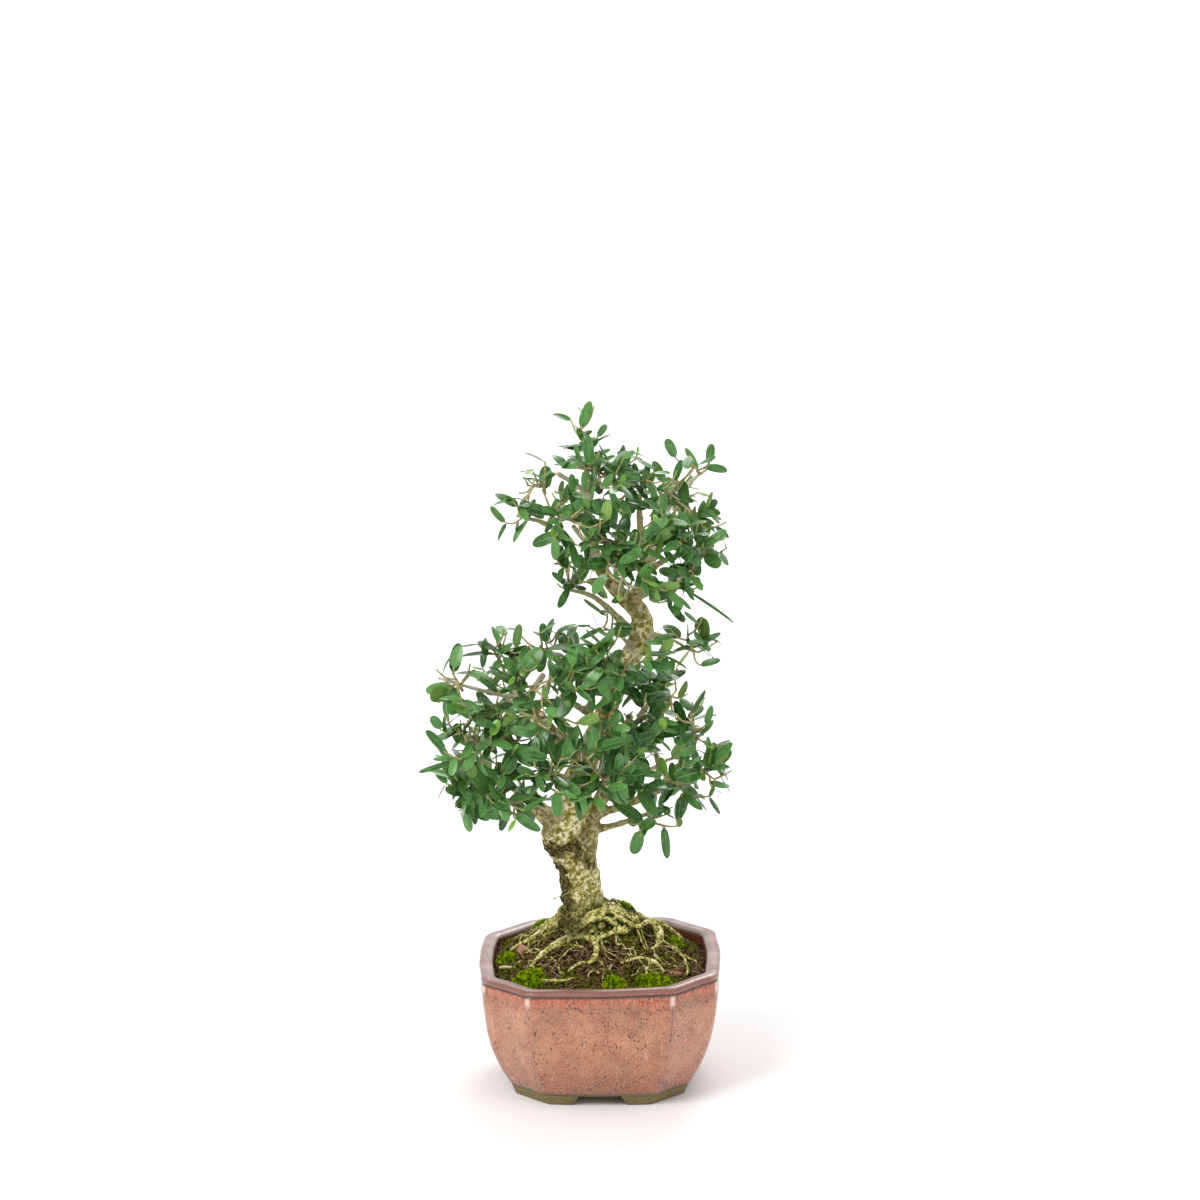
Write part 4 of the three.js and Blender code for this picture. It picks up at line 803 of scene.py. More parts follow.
def drain_material(name, size, dark, light, dull, depth, **uniform):
    """A dull skin with marks of a given size in millimetres."""
    material, put, mm = new_material(name, **uniform)
    marks = put(NOISE, mm, 1 / size, 4)
    colour = put(RAMP, marks, stops=[(0.35, dark), (0.7, light)])
    return finish_material(material, colour, put(BAND, marks, 0.3, 0.7, *dull), marks, depth)


def soil_material():
    """Peat and bark soil, sieved and watered: dark crumbs of one to three millimetres with
    a few pale grains, and a green film of algae near the trunk."""
    material, put, mm, algae = new_material(
        "peat_and_bark_soil_sieved", "algae", Roughness=0.95, IOR=1.4, Specular_IOR_Level=0.05
    )
    crumb = put(NOISE, mm, 1 / 2.6, 6, 0.68)
    dirt = put(RAMP, crumb, stops=[
        (0.4, "120C07"), (0.48, "2D1F15"), (0.55, "5A4330"), (0.64, "98795A"),
    ])
    film = put(BAND, put(PLUS, put(NOISE, mm, 1 / 4.5, 5), algae), 0.95, 1.25, 0, 0.85)
    green = put(RAMP, crumb, stops=[(0.4, "2A2C0E"), (0.52, "5E6320"), (0.64, "8B9434")])
    grain = put(BAND, put(CELLS, mm, 1 / 4.2), 0.15, 0.08)
    colour = layered(put, dirt, (grain, "C9B77E"), (film, green))
    return finish_material(material, colour, None, crumb, 0.9)


def bark_material(settings):
    """Olive bark, grown: smooth cream bark set with corky warts a millimetre wide, which
    crowd over a dark crust with lichen on the old foot and thin out on the younger limbs."""
    material, put, mm, old, cream, root, cut, pale, hollow, girth = new_material(
        "olive_bark_grown", "old", "cream", "root", "cut", "pale", "hollow", "girth",
        Roughness=0.8, IOR=1.45, Specular_IOR_Level=0.3,
    )
    broad = put(NOISE, mm, 1 / 7, 5, 0.6)
    small = put(NOISE, mm, 1 / 2.2, 5, 0.65)
    grit = put(NOISE, mm, 1 / 0.9, 3, 0.7)
    # The roots' grain mixes the middle noise with the finest.
    fine = put(PLUS, put(TIMES, small, 0.55), put(TIMES, grit, 0.45))
    young, smooth, moulds, crust, caps, roots, moss, bare, face = (
        put(RAMP, noise_at, stops=stops)
        for noise_at, stops in (
            (small, [(0.38, "4E4426"), (0.47, "8A7D52"), (0.55, "AFA276"), (0.64, "D2C8A6")]),
            (put(NOISE, mm, 1 / 2.8, 4, 0.5),
             [(0.38, "7D6F26"), (0.46, "B1A557"), (0.52, "D2C98C"), (0.6, "EDE7C6")]),
            (grit, [(0.42, "4F4A12"), (0.52, "817A22"), (0.62, "A9A04A")]),
            (small, [(0.38, "1B150A"), (0.47, "3A3115"), (0.55, "655B2B"), (0.64, "A0964F")]),
            (grit, [(0.42, "8C7833"), (0.5, "A8934A"), (0.6, "CFC384")]),
            (fine, [(0.41, "2C280A"), (0.46, "766F22"), (0.51, "BFB556"), (0.57, "EAE4A6")]),
            (small, [(0.42, "1A1408"), (0.5, "2E280D"), (0.57, "566A15"), (0.66, "8CA628")]),
            (small, [(0.3, "A99D82"), (0.48, "CFC6B2"), (0.66, "E6E0D4")]),
            (grit, [(0.35, "B08A6C"), (0.65, "DCC2A6")]),
        )
    )
    smooth = put(TINT, 1, smooth, settings.bark_tint)
    lichen = put(PLUS, broad, put(TIMES, old, 0.2))
    # The crust breaks up where the clouds of noise are low, and leaves cream patches.
    wear = put(PLUS, put(PLUS, old, put(TIMES, broad, 1.5)), put(TIMES, small, 0.5))
    patch = put(BAND, wear, 1.45, 1.56)
    # Warts: an ochre cap in a dark ring, the ring a painted shadow round the raised cap. The older
    # the bark, the more of them stand.
    wart = put(CELLS, mm, 1 / 1.8)
    pick = put(SPLIT, wart.node.outputs["Color"], out="X")
    wart = put(TIMES, wart, put("ShaderNodeMapRange", pick.node.outputs["Y"], 0, 1, 0.8, 1.6))
    stands = put(BAND, put(MINUS, pick, old), 0.22, 0.14)
    ring = put(TIMES, put(BAND, wart, 0.55, 0.36, 0, 0.85), stands)
    cap = put(TIMES, put(BAND, wart, 0.3, 0.22), stands)
    # Roots are yellow green, lighter where they face the sky as a painted highlight, and darker
    # where they face down as painted shade.
    up = put(SPLIT, put("ShaderNodeNewGeometry", out="Normal"), out="Z")
    painted_top_light = put(PLUS, put(TIMES, up, 0.3), broad)
    roots = layered(
        put, roots, (put(BAND, painted_top_light, 0.8, 0.87, 0, 0.9), "E9E3C2"),
        (put(BAND, up, 0.2, -0.5, 0, 0.7), "2C260E"),
    )
    # Moss and dirt lie in the dips between roots, and a little dirt in every fork; their darkest
    # colours are painted shade in the dips.
    dip_moss_and_shade = put(BAND, put(PLUS, hollow, put(TIMES, small, 0.8)), 0.52, 0.72)
    dip_moss_and_shade = put(TIMES, dip_moss_and_shade, put(MOST, root, old))
    colour = layered(
        put, young,
        (cream, smooth),
        (put(BAND, lichen, 0.57, 0.62, 0, 0.75), moulds),
        (patch, crust),
        # Painted shadow round each wart.
        (ring, put(PAINT, patch, "5F4F20", "231C0B")),
        (cap, put(PAINT, patch, "A98A3C", caps)),
        (root, roots),
        (dip_moss_and_shade, moss),
        (put(BAND, girth, 2.6, 1.2, 0, 0.7), "BFB48F"),
        (put(TIMES, pale, 0.85), bare),
        (cut, face),
    )
    relief = put(TIMES, small, put(PLUS, patch, 0.3))
    for sign, part, share in ((PLUS, cap, 0.4), (MINUS, ring, 0.25), (PLUS, grit, 0.2)):
        relief = put(sign, relief, put(TIMES, part, share))
    return finish_material(material, colour, None, relief, 0.9)


def leaf_material(settings):
    """Olive leaf, grown: leathery and satin above with a pale midrib and a painted highlight along
    the margin, matt yellow green below."""
    material, put, mm, tone, young = new_material(
        "olive_leaf_grown", "tone", "young",
        IOR=1.45, Coat_Weight=0.3, Coat_Roughness=0.14, Specular_IOR_Level=0.25,
    )
    along = put(SPLIT, put(("ShaderNodeUVMap", {"uv_map": "leaf"})), out="X")
    around = along.node.outputs["Y"]
    below = put(ABOVE, around, 1)
    from_rib = put(SIZE, put(MINUS, put(PART, around), 0.5))
    cloud = put(NOISE, mm, 1 / 5, 4)
    fresh = put(BAND, young, 0.3, 1, 0, 0.85)
    rib = put(BAND, from_rib, 0.05, 0.012)
    under = layered(
        put, put(PAINT, tone, "527A34", "7A9F4B"),
        (fresh, "97C450"),
        (put(TIMES, rib, 0.6), "A9BE7A"),
    )
    colour = layered(
        put, put(PAINT, tone, settings.shade_colour, settings.leaf_colour),
        (put(BAND, cloud, 0.4, 0.7, 0, 0.4), "679B4C"),
        (fresh, "76A82C"),
        (put(TIMES, rib, 0.5), "7FA374"),
        # A pale line along the margin: a painted highlight.
        (put(BAND, from_rib, 0.44, 0.5, 0, 0.6), "A0B79A"),
        (below, under),
        (put(BAND, along, 0.09, 0.02, 0, 0.8), "B3A04C"),
    )
    satin = put(PLUS, put(BAND, cloud, 0.3, 0.7, 0.28, 0.42), put(TIMES, below, 0.25))
    return finish_material(material, colour, satin, put(MINUS, cloud, rib), 0.22)


def stem_material():
    """Green olive stem, grown: grey tan below, olive and yellow green at the tip, with
    orange brown joints where leaves sit."""
    material, put, mm, youth, joint = new_material(
        "olive_stem_grown", "youth", "joint", Roughness=0.6, IOR=1.45, Specular_IOR_Level=0.35
    )
    grain = put(NOISE, mm, 1 / 1.6, 4)
    colour = layered(
        put, put(RAMP, grain, stops=[(0.32, "8F8258"), (0.66, "C4B893")]),
        (put(BAND, youth, 0.3, 1, 0, 0.85), "9AA653"), (put(TIMES, joint, 0.6), "A5702F"),
    )
    return finish_material(material, colour, None, grain, 0.15)


def moss_material(name, shade, light, tip):
    """Moss, grown: dark, light and bright yellow green in clouds about two millimetres wide, with a
    few brown patches."""
    material, put, mm = new_material(name, Roughness=0.9, IOR=1.4, Specular_IOR_Level=0.05)
    tuft = put(NOISE, mm, 1 / 2.2, 5, 0.65)
    green = put(RAMP, tuft, stops=[(0.4, shade), (0.5, light), (0.61, tip)])
    brown = put(BAND, put(NOISE, mm, 1 / 6, 3), 0.58, 0.7, 0, 0.6)
    return finish_material(material, put(PAINT, brown, green, "6A5A22"), None, tuft, 0.4)


def litter_material(name, dark, light, size):
    """Fallen bark, twig, fibre and leaf, dried: matt with a fine grain along its length."""
    material, put, mm = new_material(name, Roughness=0.8, IOR=1.45, Specular_IOR_Level=0.3)
    grain = put(NOISE, put(STRETCH, mm, Scale=(1.0, 0.35, 1.0)), 1 / size, 5)
    colour = put(RAMP, grain, stops=[(0.35, dark), (0.65, light)])
    return finish_material(material, colour, None, grain, 0.4)


def floor_material(settings):
    """Studio floor, rolled with matt white paint: even, with the faintest broad clouds."""
    material, put, mm = new_material(
        "studio_floor_painted", Roughness=0.9, Specular_IOR_Level=0.1
    )
    cloud = put(BAND, put(NOISE, mm, 1 / 900, 2), 0.3, 0.7, 0, 0.2)
    return finish_material(material, put(PAINT, cloud, settings.floor_colour, "FDFDFD"))


# ------------------------------------------------------------------ pot

LIP_LINE, FOOT_HEIGHT, RIM_HEIGHT, CORNER_SHARE, SIDE_BOW = 76.5, 6.5, 80.4, 0.62, 0.02
HALF_WIDTH, FLAT = 75, 75 * CORNER_SHARE


def bowed(points):
    """Sides bow out and cut corners hollow in, as on a pot pressed in a mould by hand."""
    points = np.array(points)
    angle = np.arctan2(points[:, 1], points[:, 0])
    return points * (1 + SIDE_BOW * (np.cos(4 * angle) - 1))[:, None]


def turned(points, quarter):
    """Points in plan, turned by quarters of a turn."""
    c, s = (1, 0, -1, 0)[quarter], (0, 1, 0, -1)[quarter]
    return [np.array([x * c - y * s, x * s + y * c]) for x, y in points]


def pot_ring(half, z, corner=12.0):
    """One level of the pot: a square with cut, rounded corners, higher on the right."""
    flat = half * CORNER_SHARE
    corners = [
        place for quarter in range(4) for place in turned([(half, -flat), (half, flat)], quarter)
    ]
    points = []
    for k, here in enumerate(corners):
        last, after = corners[k - 1], corners[(k + 1) % 8]
        enter, leave, next_enter = (
            near + unit(far - near) * corner / 2
            for near, far in ((here, last), (here, after), (after, here))
        )
        for t in np.linspace(0, 1, 7):
            points.append((1 - t) ** 2 * enter + 2 * t * (1 - t) * here + t * t * leave)
        gaps = 13 if k % 2 == 0 else 7
        for t in np.arange(1, gaps) / gaps:
            points.append(leave + (next_enter - leave) * t)
    points = bowed(points)
    lean = 1.65 * (points[:, 0] / HALF_WIDTH) * max(0.0, z / RIM_HEIGHT) ** 3
    return np.column_stack([points, z + lean])


def wall_half(z):
    down = min(max((LIP_LINE - z) / (LIP_LINE - FOOT_HEIGHT), 0), 1)
    return 74.2 - 17.7 * down**2.5


def gaps_to(*tips):
    """How far each point of a ring of the wall is from the nearest of some places in plan."""
    ring = pot_ring(HALF_WIDTH, 0)[:, :2]
    return np.min([np.linalg.norm(ring - tip, axis=1) for tip in bowed(tips)], axis=0)


def build_pot(settings):
    count = len(pot_ring(HALF_WIDTH, 0))
    bottom = [(44, FOOT_HEIGHT), (55.2, FOOT_HEIGHT)]
    wall = [(wall_half(z), z) for z in [7.1, 8, 9.5, *np.linspace(11.5, 74.5, 26)]]
    lip = [(74.15, 75.6), (73.75, 76.1), (73.75, 76.6), (74.35, 76.9), (74.85, 77.5), (75, 78.2),
           (74.75, 79.1), (74.0, 79.8), (72.8, 80.25), (71, RIM_HEIGHT), (69, 80.3), (67.6, 79.9),
           (66.8, 79.2), (66.4, 78.2)]
    inner = [(66.1, 77), (65.9, 74), (65.5, 68), (64.8, 58), (63.6, 46), (61.5, 34), (58.5, 24),
             (54, 16), (46, 12.5)]
    profile = [*bottom, *wall, *lip, *inner]
    rings = [pot_ring(half, z, 12 if z > LIP_LINE else 7) for half, z in profile]
    angle = np.arctan2(rings[0][:, 1], rings[0][:, 0])
    hole = [
        np.column_stack([9.5 * np.cos(angle), 9.5 * np.sin(angle), np.full(count, z)])
        for z in (FOOT_HEIGHT, 12.5)
    ]
    rings = [hole[0], *rings, hole[1]]
    points = np.vstack(rings)
    faces = ring_faces(len(rings), count, wrap=True)
    lip_start = 3 + len(wall)
    inner_start = lip_start + len(lip)
    nearness = np.clip(1.1 - gaps_to(*(
        (across * a, back * b) for across in (-1, 1) for back in (-1, 1)
        for a, b in ((HALF_WIDTH, FLAT), (FLAT, HALF_WIDTH))
    )) / 6, 0, 1)
    # A firing crack runs down the wall on the right corner of the front.
    crack_gap = gaps_to((FLAT, -HALF_WIDTH))
    names = ("edge", "rim", "inside", "line", "worn", "crack")
    feet = merged([pot_foot(quarter) for quarter in range(4)])
    values = {name: np.zeros(len(points) + len(feet[0])) for name in names}
    in_crack = crack_gap < crack_gap.min() + 0.01
    for name, first, row_values in (
        ("edge", 3, [nearness] * (len(wall) + 4)),
        ("crack", 3, [in_crack if 45 < ring[0, 2] < 73 else 0 for ring in rings[3:lip_start]]),
        # The rows under the lip's overhang carry a dark line of painted shade.
        ("line", lip_start, [0.6, 1, 1, 0.7]),
        ("rim", lip_start + 4, [0.35] + [1] * (len(lip) - 5)),
        # The rows on the rim's inner edge carry a grey line of painted sheen.
        ("worn", inner_start - 3, [0.6, 1, 0.5]),
        ("inside", inner_start - 1, [1] * (len(rings) - inner_start + 1)),
    ):
        for row, value in enumerate(row_values, first):
            values[name][row * count : (row + 1) * count] = value
    # A hand-made wall is not quite true: it wanders by a third of a millimetre.
    for k, point in enumerate(points):
        if point[2] > 12.6 or np.hypot(point[0], point[1]) > 40:
            out = unit([point[0], point[1], 0])
            points[k] = point + out * (0.35 * rough(point, 22, 3) - 0.15)
            points[k][2] += 0.25 * rough(point + 50, 30, 2)
    pot = new_piece("glazed_pot", *merged([(points, faces), feet]))
    set_values(pot.data, **values)
    settle(pot, glaze_material(settings), "glazed_stoneware", "pot")


def pot_foot(quarter):
    """An L-shaped corner foot whose ends lean back, sunk a little into the pot's underside."""
    rings = []
    for z, outer, gap in (
        (0.0, 53.2, 17.2), (0.35, 53.8, 16.8), (1.2, 54.1, 16.2), (3.2, 54.9, 15.0),
        (5.2, 55.8, 13.8), (6.9, 56.4, 13.0),
    ):
        inner = outer - 11.4 if z else outer - 10.4
        out_flat, in_flat = outer * CORNER_SHARE, inner * CORNER_SHARE
        out_side = [
            (outer, gap), (outer, (gap + out_flat) / 2), (outer, out_flat - 2.5),
            (outer - 0.6, out_flat - 0.2), (outer - 2.2, out_flat + 1.8),
        ]
        in_side = [(inner, gap), (inner, (gap + in_flat) / 2), (inner, in_flat)]
        middle = (outer + inner) / 2
        outline = [
            *out_side, ((outer + out_flat) / 2,) * 2, *(place[::-1] for place in out_side[::-1]),
            (gap, middle), *(place[::-1] for place in in_side), ((in_flat + inner) / 2,) * 2,
            *in_side[::-1], (middle, gap),
        ]
        rings.append(np.array([(x, y, z) for x, y in turned(bowed(outline), quarter)]))
    points, faces = loft(rings)
    for k, point in enumerate(points):
        if 0 < point[2] < 6:
            out = unit([point[0], point[1], 0])
            points[k] = point + out * 0.25 * rough(point, 9, 3)
    return points, faces


# ------------------------------------------------------------------ soil


# The soil's lowest level and the mound's rise, reach and middle, in millimetres.
SOIL_LEVEL, MOUND_RISE, MOUND_REACH, MOUND_BACK = 72.5, 36, 70, 16


def soil_height(x, y):
    near = max(0.0, 1 - math.hypot(x, y - MOUND_BACK) / MOUND_REACH)
    return SOIL_LEVEL + MOUND_RISE * near**1.2 + 0.9 * math.sin(0.19 * x + 1) * math.cos(0.16 * y)


def build_soil(settings):
    around = np.arctan2(*pot_ring(60, 0)[:, 1::-1].T)
    rings = [np.column_stack([9 * np.cos(around), 9 * np.sin(around), np.full(len(around), 15.8)])]
    rings += [
        pot_ring(half, z, 8 if half < 20 else 11) for half, z in (
            (16, 15.6), (18, 12.9), (45.4, 12.9), (53.4, 16.4), (58, 24.2), (61, 34.2), (63.1, 46),
            (64.3, 58), (65, 67.5),
        )
    ]
    edge = pot_ring(65.5, 0, 11)
    side_rows, count = len(rings), len(edge)
    for share in np.linspace(1, 0.02, 84):
        ring = edge * (share, share, 1) + (0, MOUND_BACK * (1 - share), 0)
        for point in ring:
            x, y, _ = point
            lumps = 1.5 * rough((x, y, 3), 7) + 0.7 * rough((x, y, 9), 2.2, 3)
            point[2] = soil_height(x, y) + lumps * min(1, (1 - share) * 12 + 0.25) - 0.3
        rings.append(ring)
    points, faces = loft(rings)
    soil = new_piece("soil_mound", points, faces)
    thick = np.zeros(len(points))
    thick[(side_rows + 1) * count : len(rings) * count] = 1
    near_trunk = np.hypot(points[:, 0] - 2, points[:, 1] - 10)
    set_values(soil.data, thick=thick, algae=0.8 * np.maximum(0, 1 - near_trunk / 46) + 0.1)
    finish = soil_material()
    tree = scatter_tree()
    peat = litter_material("peat_fibre_dried", "4F3B22", "A3895A", 2.0)
    crumb_numbers = settings.crumb_density, 4, 0.5, settings.crumb_size, 1.2
    for strewn in (
        strew(soil, "soil_crumbs", tree, crumb_forms(), *crumb_numbers, finish),
        strew(soil, "soil_fibres", tree, fibre_forms(), 0.12, 9, 3, 9, 0.25, peat),
    ):
        settle(strewn, None, "potting_soil")
    settle(soil, finish, "potting_soil", "soil")


def strew(piece, name, tree, forms, density, seed, smallest, largest, tilt, material):
    """Forms strewn over a copy of a piece: so many on a square millimetre, sizes in
    millimetres."""
    copy = in_scene(name, piece.data.copy())
    with Forms(f"{name}_forms", forms) as collection:
        grow(copy, tree, forms=collection, density=density / MM**2, seed=seed,
             smallest=smallest * MM, largest=largest * MM, tilt=tilt, material=material)
    return copy


def crumb_forms():
    """Four crumbs, each a faceted lump of twenty faces knocked out of round."""
    forms = []
    for kind in range(4):
        ball = bmesh.new()
        bmesh.ops.create_icosphere(ball, subdivisions=1, radius=0.5)
        for vertex in ball.verts:
            vertex.co *= 1 + 0.7 * (chance(kind * 31 + vertex.index) - 0.5)
            vertex.co.z *= 0.75
        mesh = bpy.data.meshes.new(f"crumb_{kind}")
        ball.to_mesh(mesh)
        ball.free()
        forms.append(finish_piece(mesh))
    return forms


def fibre_forms():
    """Three bent fibres, as long as their unit and a fortieth as thick."""
    bends = [
        [(-0.5, 0, 0.02, 0.02), (-0.1, 0.08, 0.1, 0.03), (0.2, -0.05, 0.06, 0.025),
         (0.5, 0.1, 0, 0.015)],
        [(-0.5, 0.1, 0, 0.02), (-0.15, -0.1, 0.05, 0.022), (0.25, 0.04, 0.12, 0.02),
         (0.5, -0.12, 0.16, 0.01)],
        [(-0.5, 0, 0.06, 0.03), (-0.2, 0.02, 0.02, 0.035), (0.15, -0.02, 0.04, 0.03),
         (0.5, 0.03, 0.08, 0.02)],
    ]
    return [small_form(f"fibre_{k}", *tube(bend, 4, 0.24)) for k, bend in enumerate(bends)]


# ------------------------------------------------------------------ wood


def limb_samples():
    """Places along every limb with its radius there and what kind of wood it is."""
    rows = []
    roots = {f"root_{name}": route for name, route in ROOTS.items()}
    for name, route in {"trunk": TRUNK, **LIMBS, **roots}.items():
        places, radii = grown(route, np.linspace(0, 1, max(4, int(Path(route).length / 1.2))))
        rows += [(place, radius, name) for place, radius in zip(places, radii)]
    return rows


def hollows(mesh, places, normals):
    """How deep each point lies in a dip of the surface about two millimetres wide, 0 to 1."""
    ends = np.empty(len(mesh.edges) * 2, np.int32)
    mesh.edges.foreach_get("vertices", ends)
    a, b = ends.reshape(-1, 2).T
    total = len(places)
    beside = (np.bincount(a, minlength=total) + np.bincount(b, minlength=total)).clip(1)
    even = places
    for _ in range(14):
        even = np.column_stack([
            (np.bincount(a, axis[b], total) + np.bincount(b, axis[a], total)) / beside
            for axis in even.T
        ])
    depth = ((even - places) * normals).sum(axis=1)
    return np.clip(depth / 0.35 - 0.1, 0, 1)


# Limbs that have lost their bark or been cut back, and so are pale.
PALE_LIMBS = ("pale_twig", "raised_stub", "ringed_stub", "pale_stub", "crest_stub", "right_reach")


def share_of(value, whole=1.0, least=0.0):
    """A value as a share of a whole, from a least share to 1."""
    return min(1, max(least, value / whole))


def bark_age(name, centre, radius, place):
    """How old, how creamy and how pale the bark is at a place, and how much of a root."""
    x, y, z = place
    if name == "root_crown":
        return 0.95, 0.5, 0, 0
    if name.startswith("root"):
        crusted = math.exp(-((x + 18) ** 2 + (z - 101) ** 2) / 110)
        return max(0.2, crusted), 0.5, 0, share_of(116 - z, 6) * (1 - crusted)
    if name == "trunk":
        left = (centre[0] - x) / radius + 0.3 * (y - centre[1]) / radius
        foot = share_of(146 - z, 8) * share_of(left + 0.22, 0.7, 0.15)
        base = 0.85 * share_of(115 - z, 6)
        collar = 0.66 * math.exp(-(((z - 149) / 11) ** 2))
        neck = 0.12 + 0.08 * share_of(z - 200, 60)
        return max(foot * 0.82, base, collar, neck), 0.3 + 0.7 * share_of(330 - z, 50), 0, 0
    if name == "second_stem":
        return 0.14 + 0.36 * share_of(158 - z, 18), 0.42, 0, 0
    return 0.1, 0.34, name in PALE_LIMBS, 0


def build_wood(settings):
    parts = [tube(TRUNK, 48, 2.5, knots=0.10, seed=1)]
    for k, route in enumerate(LIMBS.values()):
        sides = 24 if route[0][3] > 4 else 16
        parts.append(tube(route, sides, 1.5, flare=0.4, knots=0.16, seed=k + 2))
    for k, route in enumerate(ROOTS.values()):
        parts.append(tube(route, 20, 1.3, flare=0.1, knots=0.3, wander=0.5, seed=k + 60))
    wood = new_piece("olive_wood", *merged(parts))
    remesh = wood.modifiers.new("grow_together", "REMESH")
    remesh.mode = "VOXEL"
    remesh.voxel_size = settings.bark_detail
    remesh.use_smooth_shade = True
    even = wood.modifiers.new("even_out", "SMOOTH")
    even.factor = 0.5
    even.iterations = 2
    baked(wood)
    mesh = wood.data
    places = (read_all(mesh.vertices, "co") - POT_MIDDLE) / MM
    normals = read_all(mesh.vertex_normals, "vector")
    samples = limb_samples()
    tree = search_tree([place for place, _, _ in samples])
    names = ("old", "cream", "pale", "root", "girth", "cut")
    values = {name: np.zeros(len(places)) for name in names}
    values["hollow"] = hollows(mesh, places, normals)
    ends = [(np.array(route[-1][:3], float), route[-1][3], Path(route).heading(1.0))
            for name, route in LIMBS.items() if name.endswith("stub")]
    for k, place in enumerate(places):
        found = min(tree.find_n(place, 8), key=lambda hit: hit[2] - samples[hit[1]][1])
        centre, radius, name = samples[found[1]]
        age = bark_age(name, centre, radius, place)
        for kind, value in zip(names, (*age, radius if name in LIMBS else 3)):
            values[kind][k] = value
        x, y, z = place
        lumps = min(0.75, 0.07 * radius) * (0.5 + age[0]) * rough((x, y, z * 0.6), 3.2)
        lumps *= 2.2 if name == "root_crown" else 1.0
        lumps += rough(place, 9, 2) * min(0.8, 0.06 * radius)
        for end, end_radius, heading in ends:
            if abs(x - end[0]) < 5 and np.linalg.norm(place - end) < end_radius * 1.25:
                values["cut"][k] = share_of(normals[k].dot(heading) - 0.55, 0.25)
                lumps *= 0.3
        places[k] = place + normals[k] * lumps
    mesh.vertices.foreach_set("co", (places * MM + POT_MIDDLE).astype(np.float32).ravel())
    mesh.update()
    set_values(mesh, **values)
    finish = bark_material(settings)
    settle(wood, finish, "olive_wood", "wood")
    # Hair roots: the first one spans the air, the listed ones keep to their line.
    thin = []
    for k, route in enumerate([*HAIR_ROOTS, *mound_roots(settings.thin_roots)]):
        wander = 3.0 if k >= len(HAIR_ROOTS) else 1.0 if k else 0.0
        thin.append(tube(route, 6, 1.2, knots=0.3, wander=wander, seed=90 + k))
    hair = new_piece("hair_roots", *merged(thin))
    strewn = sum(len(points) for points, _ in thin[len(HAIR_ROOTS):])
    count = len(hair.data.vertices)
    even = {"girth": 3.0, "cream": 0.6, "old": 0.1, "pale": 0.0, "cut": 0.0, "hollow": 0.0}
    set_values(hair.data, **{name: np.full(count, value) for name, value in even.items()})
    set_values(hair.data, root=np.where(np.arange(count) < count - strewn, 1, 0.75))
    settle(hair, finish, "olive_wood")


def on_soil(x, y):
    return max(abs(x), abs(y)) < 61 and abs(x) + abs(y) < 97


def mound_roots(count):
    """Thin roots that wander over the mound in every direction."""
    routes = []
    for k in range(count):
        out, turn = 12 + 40 * chance(k * 3 + 1), 2 * math.pi * chance(k * 3 + 2)
        x, y = -2 + out * math.cos(turn), 4 + 0.9 * out * math.sin(turn)
        way = turn + 2.4 * (chance(k * 5 + 4) - 0.5)
        girth, reach = 0.24 + 0.3 * chance(k * 7), 9 + 15 * chance(k * 11)
        if math.hypot((x + 2) / 26, (y + 26) / 11) < 1 and k % 4:
            continue
        route = []
        for s in np.linspace(0, 1, 6):
            px, py = x + reach * s * math.cos(way + s), y + reach * s * math.sin(way + s)
            if on_soil(px, py):
                lift = 0.9 + 1.2 * math.sin(math.pi * s) * chance(k * 13) - 0.9 * s
                route.append((px, py, soil_height(px, py) + lift, girth * (1 - 0.5 * s)))
        if len(route) > 3:
            routes.append(route)
    return routes


# ------------------------------------------------------------------ leafy shoots

SHORTEST_LEAF, LONGEST_LEAF, SPRIG_REACH = 13, 26, 12
# Radius at the foot and at the tip in millimetres, and where along it the first leaves sit.
STEM, SPRIG = (1.0, 0.5, 0.25), (0.75, 0.45, 0.35)
# Where the last pair of leaves sits.
LAST_PAIR = 0.96
VIEW_DOWN = math.radians(14.1)
# How far back from their ends some limbs are kept in sight, and the trunk between two heights.
SHOWN_LIMBS = {
    "pale_twig": 45, "raised_stub": 10, "ringed_stub": 7, "pale_stub": 16, "crest_stub": 8,
    "upper_ring_stub": 4, "dark_stub": 7, "neck_stub": 6, "right_reach": 16,
}
SHOWN_NECK = (272, 302)
LEAF_ROWS = (0.0, 0.05, 0.16, 0.34, 0.55, 0.75, 0.9, 0.97, 1.0)
LEAF_COLUMNS = (-1, -0.45, 0, 0.45, 1, 0)
UNDER_RIB = 5
# Leaves of shoots that start above a height are smaller.
UPPER_TIER, UPPER_SIZE = 295, 0.9
